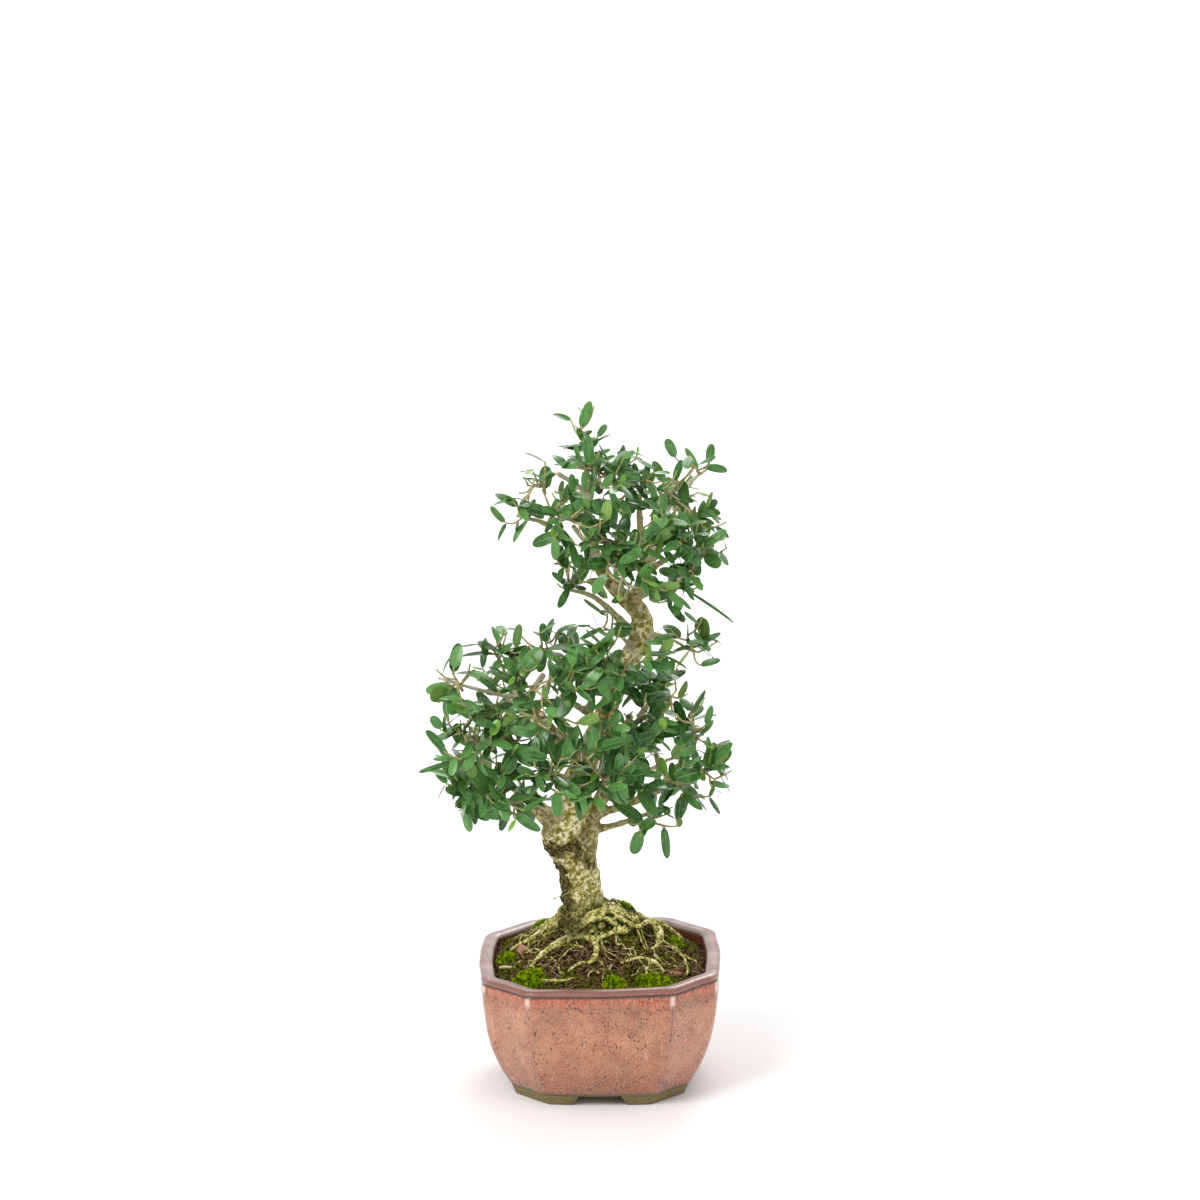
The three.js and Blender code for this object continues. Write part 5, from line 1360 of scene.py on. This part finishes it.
# Places in the crown, seen from the front, where the grower has thinned the leaves: middle,
# reach in millimetres, and the share of leaves that is left.
THINNED = (
    (-37, 370, 16, 0.3), (39, 373, 17, 0.4), (-16, 309, 16, 0.38), (66, 306, 13, 0.4),
    (-52, 280, 17, 0.25), (-105, 263, 10, 0), (-32, 266, 7, 0.5), (56, 242, 16, 0.35),
    (62, 214, 12, 0.6), (60, 177, 15, 0.5), (17, 168, 11, 0.3), (-20, 231, 7, 0.4),
    (-69, 189, 9, 0.6), (31, 196, 9, 0.65), (-6, 180, 7, 0.6), (-33, 369, 10, 0.4),
    (39, 154, 10, 0.6), (-8, 412, 12, 0.45), (-93, 166, 10, 0), (-48, 169, 9, 0.45),
    (14, 166, 10, 0.3), (-29, 218, 9, 0.4), (-29, 266, 9, 0.25), (-6, 269, 7, 0.5),
    (43, 206, 10, 0.45), (44, 185, 10, 0.5), (70, 206, 9, 0.5), (26, 181, 9, 0.5),
    (-105, 228, 7, 0), (-93, 232, 6, 0.4), (-20, 232, 6, 0.4), (-37, 218, 6, 0.5),
    (2, 363, 10, 0.5), (24, 345, 7, 0.7), (-19, 314, 9, 0.4), (0, 312, 6, 0.6),
)
# Shoots that have lost some of their leaves, and the share they keep.
SPARSE_SHOOTS = {
    "apex": 0.6, "right_reach": 0.4, "neck_right": 0.6, "right_low": 0.7, "far_left": 0.7,
    "neck_left": 0.6, "right_droop": 0.5, "upper_left": 0.8,
}
# Width over length, fold, droop, twist, and where along the leaf it is widest.
LEAF_FORMS = {
    "flat": (0.42, 0.16, 0.06, 0.0, 0.54),
    "cupped": (0.40, 0.40, 0.10, 0.15, 0.52),
    "drooping": (0.38, 0.25, 0.24, -0.2, 0.54),
    "twisted": (0.36, 0.30, 0.12, 0.7, 0.52),
    "broad": (0.50, 0.12, 0.10, -0.1, 0.56),
    "slender": (0.30, 0.45, 0.14, 0.25, 0.5),
    "edge_on": (0.10, 0.60, 0.05, 0.2, 0.4),
}


def leaf_form(name, width, fold, droop, twist, widest):
    """A closed leaf one unit long: midrib along X, upper face up, a margin on each side.
    It is an ellipse with a blunt tip and a narrow foot."""
    rings = []
    for t in LEAF_ROWS:
        away = abs(t - widest) / (widest if t < widest else 1 - widest)
        half = width / 2 * math.sqrt(1 - away**2.3) * min(1.0, t / 0.12)
        half = max(half, 0.02 if t < 0.1 else 0.008)
        y = np.array(LEAF_COLUMNS) * half
        z = fold * abs(y) - droop * t * t - 0.25 * y * y / max(half, 0.01)
        z[UNDER_RIB] -= 0.02
        lean = twist * (t - 0.4)
        along = np.full(len(y), t * (1 - 0.3 * droop * t))
        rings.append(np.column_stack([
            along, y * math.cos(lean) - z * math.sin(lean) * 0.3, z + y * math.sin(lean),
        ]))
    rows, columns = len(rings), len(LEAF_COLUMNS)
    ends = [range(columns)[::-1], range((rows - 1) * columns, rows * columns)]
    faces = [tuple(face)[::-1] for face in [*ring_faces(rows, columns), *ends]]
    leaf = small_form(name, np.vstack(rings), faces)
    mesh = leaf.data
    layer = mesh.uv_layers.new(name="leaf")
    for polygon in mesh.polygons:
        spots = {i: divmod(mesh.loops[i].vertex_index, columns) for i in polygon.loop_indices}
        below = any(column == UNDER_RIB for _, column in spots.values())
        for i, (row, column) in spots.items():
            side = (LEAF_COLUMNS[column] + 1) / 2
            layer.data[i].uv = LEAF_ROWS[row], 1.001 + side * 0.998 if below else side * 0.999
    for edge in mesh.edges:
        a, b = (vertex % columns for vertex in edge.vertices)
        edge.use_edge_sharp |= a == b and a in (0, UNDER_RIB - 1)
    return leaf


def across(heading, angle):
    """A direction square to a stem, turned round it by an angle."""
    level = np.array([-heading[1], heading[0], 0.0])
    if level.dot(level) < 0.01:
        level = np.array([1.0, 0.0, 0.0])
    level = unit(level)
    rise = unit(np.cross(heading, level))
    return unit(level * math.cos(angle) + rise * math.sin(angle))


def pair_places(path, start, spacing):
    """Where along a stem its pairs of leaves sit."""
    pairs = max(2, round(path.length * (1 - start) / spacing) + 1)
    return start + (LAST_PAIR - start) * np.arange(pairs) / (pairs - 1)


def leaf_sites(path, start, seed, size, spacing):
    """Pairs of leaves along a stem, each pair a quarter turn from the one below it."""
    sites = []
    places = pair_places(path, start, spacing)
    for pair, along in enumerate(places):
        heading = path.heading(along)
        turn = (pair % 2) * math.pi / 2 + 2 * chance(seed) * math.pi
        for half in range(2):
            key = seed + pair * 7 + half * 3
            side = across(heading, turn + half * math.pi + 0.5 * (chance(key) - 0.5))
            spread = math.radians(66 - 30 * (pair / len(places)) + 16 * (chance(key + 1) - 0.5))
            midrib = heading * math.cos(spread) + side * math.sin(spread) - (0, 0, 0.1)
            reach = (LONGEST_LEAF - SHORTEST_LEAF) * chance(key + 2) * (1 - abs(along - 0.55))
            base, share = path.at(along + half * 0.02), pair / (len(places) - 1)
            sites.append(site_of(
                base, midrib, heading + (0, 0, 0.8), (SHORTEST_LEAF + reach) * size, key, share
            ))
    return sites


def site_of(base, midrib, face, length, key, share=0.5, **fixed):
    """Where a leaf grows, which way it points and faces, and what is fixed about its form."""
    midrib = unit(midrib)
    return {
        "base": base, "midrib": midrib, "face": unit(face - midrib * np.dot(face, midrib)),
        "length": length, "key": key, "share": share, **fixed,
    }


def sprigs(path, seed, count):
    """Side sprigs leave a stem low down and turn upwards."""
    made = []
    for index in range(count):
        along = 0.3 + 0.32 * index
        base, heading = path.at(along), path.heading(along)
        side = across(heading, 2 * math.pi * (chance(seed + 50 + index) * 0.3 + index * 0.45))
        reach = SPRIG_REACH * (0.75 + 0.5 * chance(seed + 60 + index))
        bend = base + side * reach * 0.45 + heading * reach * 0.3
        tip = base + side * reach * 0.75 + heading * reach * 0.65 + np.array([0, 0, reach * 0.2])
        made.append(Path([base, bend, tip]))
    return made


def in_front_view(place):
    """A place as seen from the front and a little above."""
    x, y, z = place
    return np.array([x, 0.0, z * math.cos(VIEW_DOWN) + y * math.sin(VIEW_DOWN)])


class Thicket:
    """The wood's places, to keep leaves out of it, and the box that they stay inside."""

    MARGIN = 0.4

    def __init__(self):
        self.samples = limb_samples()
        self.tree = search_tree([place for place, _, _ in self.samples])
        self.shown = [
            (place, radius) for place, radius, name in self.samples
            if np.linalg.norm(place - LIMBS.get(name, TRUNK)[-1][:3]) < SHOWN_LIMBS.get(name, 0)
            or (name == "trunk" and SHOWN_NECK[0] < place[2] < SHOWN_NECK[1])
        ]
        self.sight = search_tree([in_front_view(place) for place, _ in self.shown])
        self.low = (np.array(CAD_LOW) - POT_MIDDLE) / MM + self.MARGIN
        self.high = (np.array(CAD_HIGH) - POT_MIDDLE) / MM - self.MARGIN

    def clear(self, place, room=0.6):
        near = self.tree.find_range(place, 17)
        return all(far >= self.samples[index][1] + room for _, index, far in near)

    def hides(self, place):
        """True in front of wood that the grower keeps in sight."""
        for _, index, far in self.sight.find_range(in_front_view(place), 3.4):
            shown, radius = self.shown[index]
            if place[1] < shown[1] and far < radius + 1.2:
                return True
        return False

    def inside(self, place):
        return bool((place > self.low).all() and (place < self.high).all())


def fits(site, thicket):
    """True if a leaf stays inside the box, out of the wood and off the bare stubs and the
    neck, as a grower plucks it to show them; its base may touch a limb."""
    base, midrib, length = site["base"], site["midrib"], site["length"]
    side = np.cross(site["face"], midrib) * length * 0.2
    for share in (0.35, 0.6, 0.85, 1.0):
        middle = base + midrib * length * share
        edges = (middle, middle + side, middle - side) if share < 1 else (middle,)
        for place in edges:
            if not thicket.inside(place - (0, 0, 0.25 * length * share**2)):
                return False
            if not thicket.inside(place) or not thicket.clear(place) or thicket.hides(place):
                return False
    return True


def stem_routes(rows):
    """The routes of a shoot's stems, from the rows of its table."""
    routes = [np.reshape(rows[0], (3, 3))]
    for parent, *rest in rows[1:]:
        routes.append(np.vstack([routes[parent][1], np.reshape(rest, (2, 3))]))
    return routes


def stem_wire(path, base, tip, joints):
    """Points, radii, joints and youth along a stem, with a small swelling at each pair."""
    shares = np.linspace(0, 1, max(6, int(path.length / 1.3)))
    near = np.array([min([abs(s - j) for j in joints] + [1.0]) for s in shares]) * path.length
    joint = np.clip(1 - near, 0, 1)
    radius = (base + (tip - base) * shares) * (1 + 0.45 * joint)
    return spline(path.points, path.steps(shares)), radius, joint, shares


def left_over(site):
    """The share of leaves left where a leaf would grow."""
    x, _, z = in_front_view(site["base"] + site["midrib"] * site["length"] * 0.55)
    here = [left for px, pz, reach, left in THINNED if math.hypot(x - px, z - pz) < reach]
    return min([1, *here])


def lone_leaf(foot, tip, ratio, seed):
    """The site of a single leaf from its foot to its tip."""
    foot, way = np.array(foot, float), np.subtract(tip, foot).astype(float)
    form = "edge_on" if ratio < 0.15 else "flat"
    return site_of(
        foot, way, np.array([0, -0.5, 1.0]), np.linalg.norm(way) * 0.98, seed + 3, roll=0.0,
        form=[*LEAF_FORMS].index(form), wide=ratio / LEAF_FORMS[form][0],
    )


def shoot_host(name, routes, seed, thicket, settings):
    """The wires and leaf places of one shoot, as a mesh of edges and loose points."""
    spacing = settings.leaf_spacing
    stems, sites = [], []
    size = UPPER_SIZE if routes[0][0][2] > UPPER_TIER else 1.0
    for number, route in enumerate(routes):
        path = Path(route)
        own = seed + 31 * number
        stems.append((path, *STEM))
        sites += leaf_sites(path, STEM[2], own, size, spacing)
        for k, sprig in enumerate(sprigs(path, own, settings.sprigs)):
            tip = sprig.at(1.0)
            if thicket.inside(tip) and thicket.clear(tip, 1.5):
                stems.append((sprig, *SPRIG))
                sites += leaf_sites(sprig, SPRIG[2], own + 5 + 13 * k, 0.88 * size, spacing)
    keep = settings.fullness * SPARSE_SHOOTS.get(name, 1)
    sites = [
        site for site in sites
        if chance(site["key"] + 9) < keep * left_over(site) and fits(site, thicket)
    ]
    if name in LONE_LEAVES:
        sites.append(lone_leaf(*LONE_LEAVES[name], seed))
    wires, edges, start = [], [], 0
    for path, base, tip, first in stems:
        wires.append(stem_wire(path, base, tip, pair_places(path, first, spacing)))
        end = start + len(wires[-1][0])
        edges += [(k, k + 1) for k in range(start, end - 1)]
        start = end
    points, radius, joint, youth = (np.concatenate(parts) for parts in zip(*wires))
    rows = []
    for site in sites:
        key, x_axis, z_axis = site["key"], Vector(site["midrib"]), Vector(site["face"])
        roll = site.get("roll", 0.9 * (chance(key + 3) - 0.5))
        axes = Matrix((x_axis, z_axis.cross(x_axis), z_axis)).transposed()
        last = site["share"] > 0.8 and chance(key + 7) > 0.9
        length = site["length"] * MM * (0.7 if last else 1)
        wide = site.get("wide", 0.84 + 0.34 * chance(key + 4))
        rows.append((
            (axes @ Matrix.Rotation(roll, 3, "X")).to_euler("XYZ"), (length, length * wide, length),
            site.get("form", int(6 * chance(key + 5))), chance(key + 6),
            1.0 if last else 0.4 * chance(key + 8) ** 3,
        ))
    turns, sizes, forms, tones, youngs = zip(*rows)
    places = np.vstack([points, *(site["base"] for site in sites)]) * MM + POT_MIDDLE
    host = small_form(f"{name}_shoot", places, [], edges=edges)
    leafy, none = len(sites), np.zeros((start, 3))
    blank, bare = np.zeros(leafy), none[:, 0]
    set_values(host.data, "BOOLEAN", is_leaf=[False] * start + [True] * leafy)
    set_values(host.data, "INT", form=[0] * start + [*forms])
    set_values(host.data, "FLOAT_VECTOR", turn=[*none, *turns], size=[*none, *sizes])
    for kind, values in (("radius", radius * MM), ("joint", joint), ("youth", youth)):
        set_values(host.data, **{kind: [*values, *blank]})
    set_values(host.data, tone=[*bare, *tones], young=[*bare, *youngs])
    return host


def build_shoots(settings):
    thicket = Thicket()
    tree = shoot_tree()
    blade, bark = leaf_material(settings), stem_material()
    # The tree picks forms in the order of their names.
    makers = [
        leaf_form(f"leaf_{k}_{name}", *shape) for k, (name, shape) in enumerate(LEAF_FORMS.items())
    ]
    with Forms("leaf_forms", makers) as forms:
        for index, (name, rows) in enumerate(SHOOTS.items()):
            shoot = shoot_host(name, stem_routes(rows), 100 * index + 11, thicket, settings)
            grow(shoot, tree, forms=forms, sides=6, stem_material=bark, leaf_material=blade)
            settle(shoot, None, "olive_leaf", f"shoot_{name}")


# ------------------------------------------------------------------ moss and litter


def tuft_forms():
    """Three moss tufts, each seven narrow blades of four faces that lean outwards."""
    forms = []
    for kind in range(3):
        parts = []
        for blade in range(7):
            turn = blade * 2.4 + kind
            lean = 0.15 + 0.55 * blade / 7
            out, side = np.array([
                (math.cos(turn), math.sin(turn), 0), (-math.sin(turn), math.cos(turn), 0),
            ])
            root = out * 0.12 * lean
            tip = out * lean * 0.75 + (0, 0, 1 - 0.45 * lean)
            foot = [root + side * 0.11, root - side * 0.11, root + out * 0.10 + (0, 0, 0.02)]
            parts.append((np.array([*foot, tip]), [(0, 2, 1), (0, 1, 3), (1, 2, 3), (2, 0, 3)]))
        forms.append(small_form(f"tuft_{kind}", *merged(parts), smooth=False))
    return forms


def build_moss(settings):
    tree = scatter_tree()
    finish = moss_material("cushion_moss_grown", "2B3A05", "7FA008", "C6DC1E")
    for number, (place, (x, y, wide, deep, tall)) in enumerate(MOSS.items()):
        ground = soil_height(x, y)
        rings = []
        for size, up in CUSHION:
            z = ground + (up * (tall - 1) if up > 0 else up)
            ring = []
            for c, s in circle(28):
                reach = 0.92 * size * (1 + 0.38 * rough((c * 3, s * 3, number * 9), 2.4, 3))
                px, py = x + wide * reach * c, y + deep * reach * s
                lump = 1.1 * rough((px, py, number), 3.2, 3) if up > 0 else 0
                ring.append((px, py, z + lump + (soil_height(px, py) - ground) * 0.8))
            rings.append(np.array(ring))
        points, faces = loft(rings)
        cushion = new_piece(f"{place}_moss", points, faces)
        set_values(cushion.data, thick=points[:, 2] > ground - 2.5)
        tufts = strew(cushion, f"{place}_moss_tufts", tree, tuft_forms(), settings.tuft_density,
                      number + 3, 1.1, settings.tuft_size, 0.5, finish)
        settle(cushion, finish, "moss", f"moss_{place}")
        settle(tufts, None, "moss")
    creeping = moss_material("creeping_moss_grown", "2A2A08", "67700F", "9FA826")
    film = moss_film()
    tufts = strew(film, "creeping_moss", tree, tuft_forms(), 0.9, 21, 0.9, 2.2, 0.8, creeping)
    bpy.data.meshes.remove(film.data)
    settle(tufts, None, "moss")


def moss_film():
    """Creeping moss over the mound between the roots, thickest near the trunk."""
    steps = np.arange(-62, 62, 1.6)
    points, values = [], []
    for y in steps:
        for x in steps:
            near_trunk = max(0.0, 1 - math.hypot(x - 4, y - 4) / 48)
            amount = 0.9 * near_trunk + 1.4 * rough((x, y, 40), 8, 4)
            amount -= 1.6 * max(0.0, 1.2 - math.hypot((x + 4) / 28, (y + 22) / 12))
            for px, py, reach in MOSS_SPREAD:
                amount += 1.6 * max(0.0, 1.2 - math.hypot(x - px, y - py) / reach)
            bare = not on_soil(x, y) or math.hypot(x + 8, y - 8) < 13
            points.append((x, y, soil_height(x, y) + 0.2))
            values.append(0.0 if bare else share_of(amount))
    side = len(steps)
    corners = [r * side + c for r in range(side - 1) for c in range(side - 1)]
    faces = [(k, k + 1, k + side + 1, k + side) for k in corners]
    film = new_piece("moss_film", points, faces)
    set_values(film.data, thick=values)
    return film


def build_litter():
    # A dead leaf curled along its midrib, lying against the soil.
    rings = []
    for t in np.linspace(0, 1, 15):
        middle = spline([(-50, 6, 84.0), (-49, 4, 81.5), (-47, 0, 79.2), (-46, -6, 78.0)], [t])[0]
        half = max(0.25, 4.4 * math.sin(math.pi * t**0.9) ** 0.8)
        curl = 1.25 + 0.3 * math.sin(5 * t)
        ring = []
        for k in range(18):
            upper = k < 9
            u = (k if upper else 17 - k) / 4 - 1
            bend = u * curl * (0.85 if upper else 0.8)
            radius = half / curl * (1.0 if upper else 1.12)
            rise = half / curl * (1.05 - math.cos(bend)) - (0 if upper else 0.35)
            ring.append(middle + (radius * math.sin(bend), 0.25 * u * u, rise))
        rings.append(np.array(ring))
    leaf = new_piece("curled_dead_leaf", *loft(rings))
    leaf_finish = litter_material("olive_leaf_dried", "8A5F48", "C39C7C", 1.4)
    settle(leaf, leaf_finish, "litter", "dead_leaf")

    # A flake of bark with broken edges.
    ground = soil_height(46, -27) + 1.0
    c, s = math.cos(-0.4), math.sin(-0.4)
    rings = []
    for up, size in ((-1.3, 0.8), (-0.9, 0.97), (0.3, 1.0), (0.9, 0.93), (1.2, 0.72), (1.3, 0.35)):
        ring = []
        for x, y in circle(26):
            broken = 1 + 0.22 * rough((x * 4, y * 4, 2), 2, 3)
            reach = size * broken / max(abs(x), abs(y)) ** 0.6
            px, py = 4.3 * reach * x, 2.1 * reach * y
            z = ground + up + 0.25 * rough((px, py, 5), 1.5, 3) + 0.024 * px * px
            ring.append((46 + px * c - py * s, -27 + px * s + py * c, z))
        rings.append(np.array(ring))
    flake = new_piece("bark_flake", *loft(rings))
    flake_finish = litter_material("bark_flake_weathered", "5A3D2A", "A88262", 0.9)
    settle(flake, flake_finish, "litter", "bark_chip")

    # A bit of fallen twig with two knuckles.
    route = [(-62, -12, 74.9, 0.75), (-59, -12.3, 75.3, 0.95), (-56, -13, 75.6, 0.7),
             (-53, -14.4, 75.8, 0.85), (-50, -15, 76.2, 0.5)]
    twig = new_piece("fallen_twig", *tube(route, 12, 0.5, knots=0.3, seed=5))
    twig_finish = litter_material("olive_twig_dried", "B29B72", "DCCDAA", 1.5)
    settle(twig, twig_finish, "litter", "litter_twig")


def build_drain():
    # Polyethylene mesh, injection moulded: black with a dull skin. Aluminium wire, drawn and
    # left to oxidise: pale grey with fine marks.
    finishes = {
        "drain_screen": drain_material(
            "polyethylene_mesh_moulded", 0.8, "1E1F1E", "313331", (0.45, 0.65), 0.05, IOR=1.51
        ),
        "screen_clip": drain_material(
            "aluminium_wire_drawn", 0.6, "8E9292", "B6B8B8", (0.3, 0.5), 0.03, Metallic=1.0
        ),
    }
    for node, finish in finishes.items():
        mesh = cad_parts[node].data
        mesh.materials.clear()
        mesh.materials.append(finish)


# ------------------------------------------------------------------ stage


# The round floor in metres, and the camera's lens in millimetres, its height and how far it
# stands back from the pot.
FLOOR_RADIUS, FLOOR_SIDES = 9, 96
LENS, CAMERA_BACK, CAMERA_HEIGHT = 145.2, 2.8544, 1.0229


def build_stage(settings):
    scene = bpy.context.scene
    ring = np.pad(circle(FLOOR_SIDES) * FLOOR_RADIUS, ((0, 0), (0, 1)))
    floor = small_form("studio_floor", ring, [range(FLOOR_SIDES)], smooth=False)
    floor.data.materials.append(floor_material(settings))

    scene.world = bpy.data.worlds.new("studio")
    scene.world.use_nodes = True
    background = scene.world.node_tree.nodes["Background"]
    background.inputs["Color"].default_value = linear("FFFFFF")
    background.inputs["Strength"].default_value = settings.room_light

    # Soft lamps round the tree and one on the ground behind it, all placed from the pot.
    tree = (0, 0, 0.22)
    for name, place, size, power, aim in (
        ("key", (-1.3, -1.5, 1.9), 1.2, 1, tree),
        ("fill", (1.7, -1.0, 1.0), 1.6, 0.15, tree),
        ("back", (0.4, 1.6, 1.7), 1.2, 0.5, tree),
        ("backdrop", (0, 4.6, 3.0), 3.0, 1.3, (0, 5.2, 0)),
    ):
        data = bpy.data.lights.new(name, "AREA")
        data.shape = "DISK"
        data.size = size
        data.energy = settings.key_power * power
        lamp = in_scene(name, data)
        lamp.location = POT_MIDDLE + place
        aimed = Vector(POT_MIDDLE + aim) - Vector(POT_MIDDLE + place)
        lamp.rotation_euler = aimed.to_track_quat("-Z", "Y").to_euler()

    data = bpy.data.cameras.new("camera")
    data.lens = LENS
    data.sensor_width = 36.0
    data.clip_end = 60.0
    scene.camera = in_scene("camera", data)
    scene.camera.location = POT_MIDDLE + (0, -CAMERA_BACK, CAMERA_HEIGHT)
    scene.camera.rotation_euler = (math.pi / 2 - VIEW_DOWN, 0, 0)
    scene.view_settings.view_transform = "Standard"


# ------------------------------------------------------------------ settings and operators


def colour_setting(name, description, code):
    return bpy.props.FloatVectorProperty(
        name=name, description=description, default=linear(code), subtype="COLOR", size=4,
        min=0, max=1,
    )


class PotSettings(bpy.types.PropertyGroup):
    """What a user may change about the pot."""

    glaze_tint: colour_setting("Glaze tint", "Tint over the glaze's own colours", "FFFFFF")


class SoilSettings(bpy.types.PropertyGroup):
    """What a user may change about the soil."""

    crumb_size: bpy.props.FloatProperty(
        name="Largest crumb", description="Width of the largest crumb in millimetres",
        default=2.6, min=0.5, max=5,
    )
    crumb_density: bpy.props.FloatProperty(
        name="Crumbs", description="Crumbs on a square millimetre of soil",
        default=0.22, min=0, max=0.5,
    )


class WoodSettings(bpy.types.PropertyGroup):
    """What a user may change about the trunk, limbs and roots."""

    bark_detail: bpy.props.FloatProperty(
        name="Bark detail", description="Width of the mesh's faces on the wood",
        default=0.00088, min=0.0006, max=0.003, precision=5, unit="LENGTH",
    )
    bark_tint: colour_setting("Bark tint", "Tint over the smooth bark of the trunk", "FFFFFF")
    thin_roots: bpy.props.IntProperty(
        name="Thin roots", description="Thin roots that wander over the mound",
        default=95, min=0, max=300,
    )


class LeafSettings(bpy.types.PropertyGroup):
    """What a user may change about the leafy shoots."""

    leaf_spacing: bpy.props.FloatProperty(
        name="Pair spacing", description="Stem length between two pairs of leaves in millimetres",
        default=6.0, min=3, max=15,
    )
    fullness: bpy.props.FloatProperty(
        name="Fullness", description="Share of the leaves that have not been plucked",
        default=0.66, min=0.1, max=1,
    )
    sprigs: bpy.props.IntProperty(
        name="Sprigs", description="Side sprigs on each stem", default=3, min=0, max=5
    )
    shade_colour: colour_setting("Dark leaf", "Colour of the darkest leaves", "17430F")
    leaf_colour: colour_setting("Light leaf", "Colour of the lighter leaves", "578D42")


class MossSettings(bpy.types.PropertyGroup):
    """What a user may change about the moss."""

    tuft_size: bpy.props.FloatProperty(
        name="Largest tuft", description="Height of the largest tuft in millimetres",
        default=2.6, min=0.5, max=5,
    )
    tuft_density: bpy.props.FloatProperty(
        name="Tufts", description="Tufts on a square millimetre of moss",
        default=2.0, min=0, max=5,
    )


class StageSettings(bpy.types.PropertyGroup):
    """What a user may change about the studio."""

    floor_colour: colour_setting("Floor", "Colour of the floor", "F4F4F4")
    room_light: bpy.props.FloatProperty(
        name="Room light", description="Strength of the light from all round",
        default=0.78, min=0, max=5,
    )
    key_power: bpy.props.FloatProperty(
        name="Key lamp", description="Power of the key lamp", default=38, min=0, max=500,
        unit="POWER",
    )


class BONSAI_OT_pot(bpy.types.Operator):
    """Builds the glazed pot with its four feet"""

    bl_idname = "bonsai.pot"
    bl_label = "Pot"

    def execute(self, context):
        build_pot(context.scene.bonsai_pot)
        return {"FINISHED"}


class BONSAI_OT_drain(bpy.types.Operator):
    """Finishes the drain screen and the clip that holds it"""

    bl_idname = "bonsai.drain"
    bl_label = "Drain Screen and Clip"

    def execute(self, context):
        build_drain()
        return {"FINISHED"}


class BONSAI_OT_soil(bpy.types.Operator):
    """Builds the mound of soil with its crumbs and fibres"""

    bl_idname = "bonsai.soil"
    bl_label = "Soil"

    def execute(self, context):
        build_soil(context.scene.bonsai_soil)
        return {"FINISHED"}


class BONSAI_OT_wood(bpy.types.Operator):
    """Builds the trunk, the limbs and the roots"""

    bl_idname = "bonsai.wood"
    bl_label = "Wood"

    def execute(self, context):
        build_wood(context.scene.bonsai_wood)
        return {"FINISHED"}


class BONSAI_OT_shoots(bpy.types.Operator):
    """Builds the leafy shoots"""

    bl_idname = "bonsai.shoots"
    bl_label = "Leafy Shoots"

    def execute(self, context):
        build_shoots(context.scene.bonsai_leaves)
        return {"FINISHED"}


class BONSAI_OT_moss(bpy.types.Operator):
    """Builds the moss cushions and the creeping moss"""

    bl_idname = "bonsai.moss"
    bl_label = "Moss"

    def execute(self, context):
        build_moss(context.scene.bonsai_moss)
        return {"FINISHED"}


class BONSAI_OT_litter(bpy.types.Operator):
    """Builds the dead leaf, the flake of bark and the fallen twig"""

    bl_idname = "bonsai.litter"
    bl_label = "Litter"

    def execute(self, context):
        build_litter()
        return {"FINISHED"}


class BONSAI_OT_stage(bpy.types.Operator):
    """Builds the floor, the lights and the camera"""

    bl_idname = "bonsai.stage"
    bl_label = "Stage"

    def execute(self, context):
        build_stage(context.scene.bonsai_stage)
        return {"FINISHED"}


SETTINGS = {
    "bonsai_pot": PotSettings,
    "bonsai_soil": SoilSettings,
    "bonsai_wood": WoodSettings,
    "bonsai_leaves": LeafSettings,
    "bonsai_moss": MossSettings,
    "bonsai_stage": StageSettings,
}
OPERATORS = (
    BONSAI_OT_stage,
    BONSAI_OT_pot,
    BONSAI_OT_drain,
    BONSAI_OT_soil,
    BONSAI_OT_wood,
    BONSAI_OT_shoots,
    BONSAI_OT_moss,
    BONSAI_OT_litter,
)


class BONSAI_PT_pieces(bpy.types.Panel):
    """Lists the settings and the operators"""

    bl_idname = "BONSAI_PT_pieces"
    bl_label = "Olive Bonsai"
    bl_space_type = "VIEW_3D"
    bl_region_type = "UI"
    bl_category = "Bonsai"

    def draw(self, context):
        for group in SETTINGS:
            settings = getattr(context.scene, group)
            for name in settings.bl_rna.properties.keys():
                if name not in ("rna_type", "name"):
                    self.layout.prop(settings, name)
        for operator in OPERATORS:
            self.layout.operator(operator.bl_idname)


def register():
    for group, kind in SETTINGS.items():
        bpy.utils.register_class(kind)
        setattr(bpy.types.Scene, group, bpy.props.PointerProperty(type=kind))
    for kind in (*OPERATORS, BONSAI_PT_pieces):
        bpy.utils.register_class(kind)


def unregister():
    for kind in (BONSAI_PT_pieces, *reversed(OPERATORS)):
        bpy.utils.unregister_class(kind)
    for group, kind in SETTINGS.items():
        delattr(bpy.types.Scene, group)
        bpy.utils.unregister_class(kind)


def main():
    register()
    for operator in OPERATORS:
        getattr(bpy.ops.bonsai, operator.bl_idname.split(".")[1])()


if __name__ == "__main__":
    main()
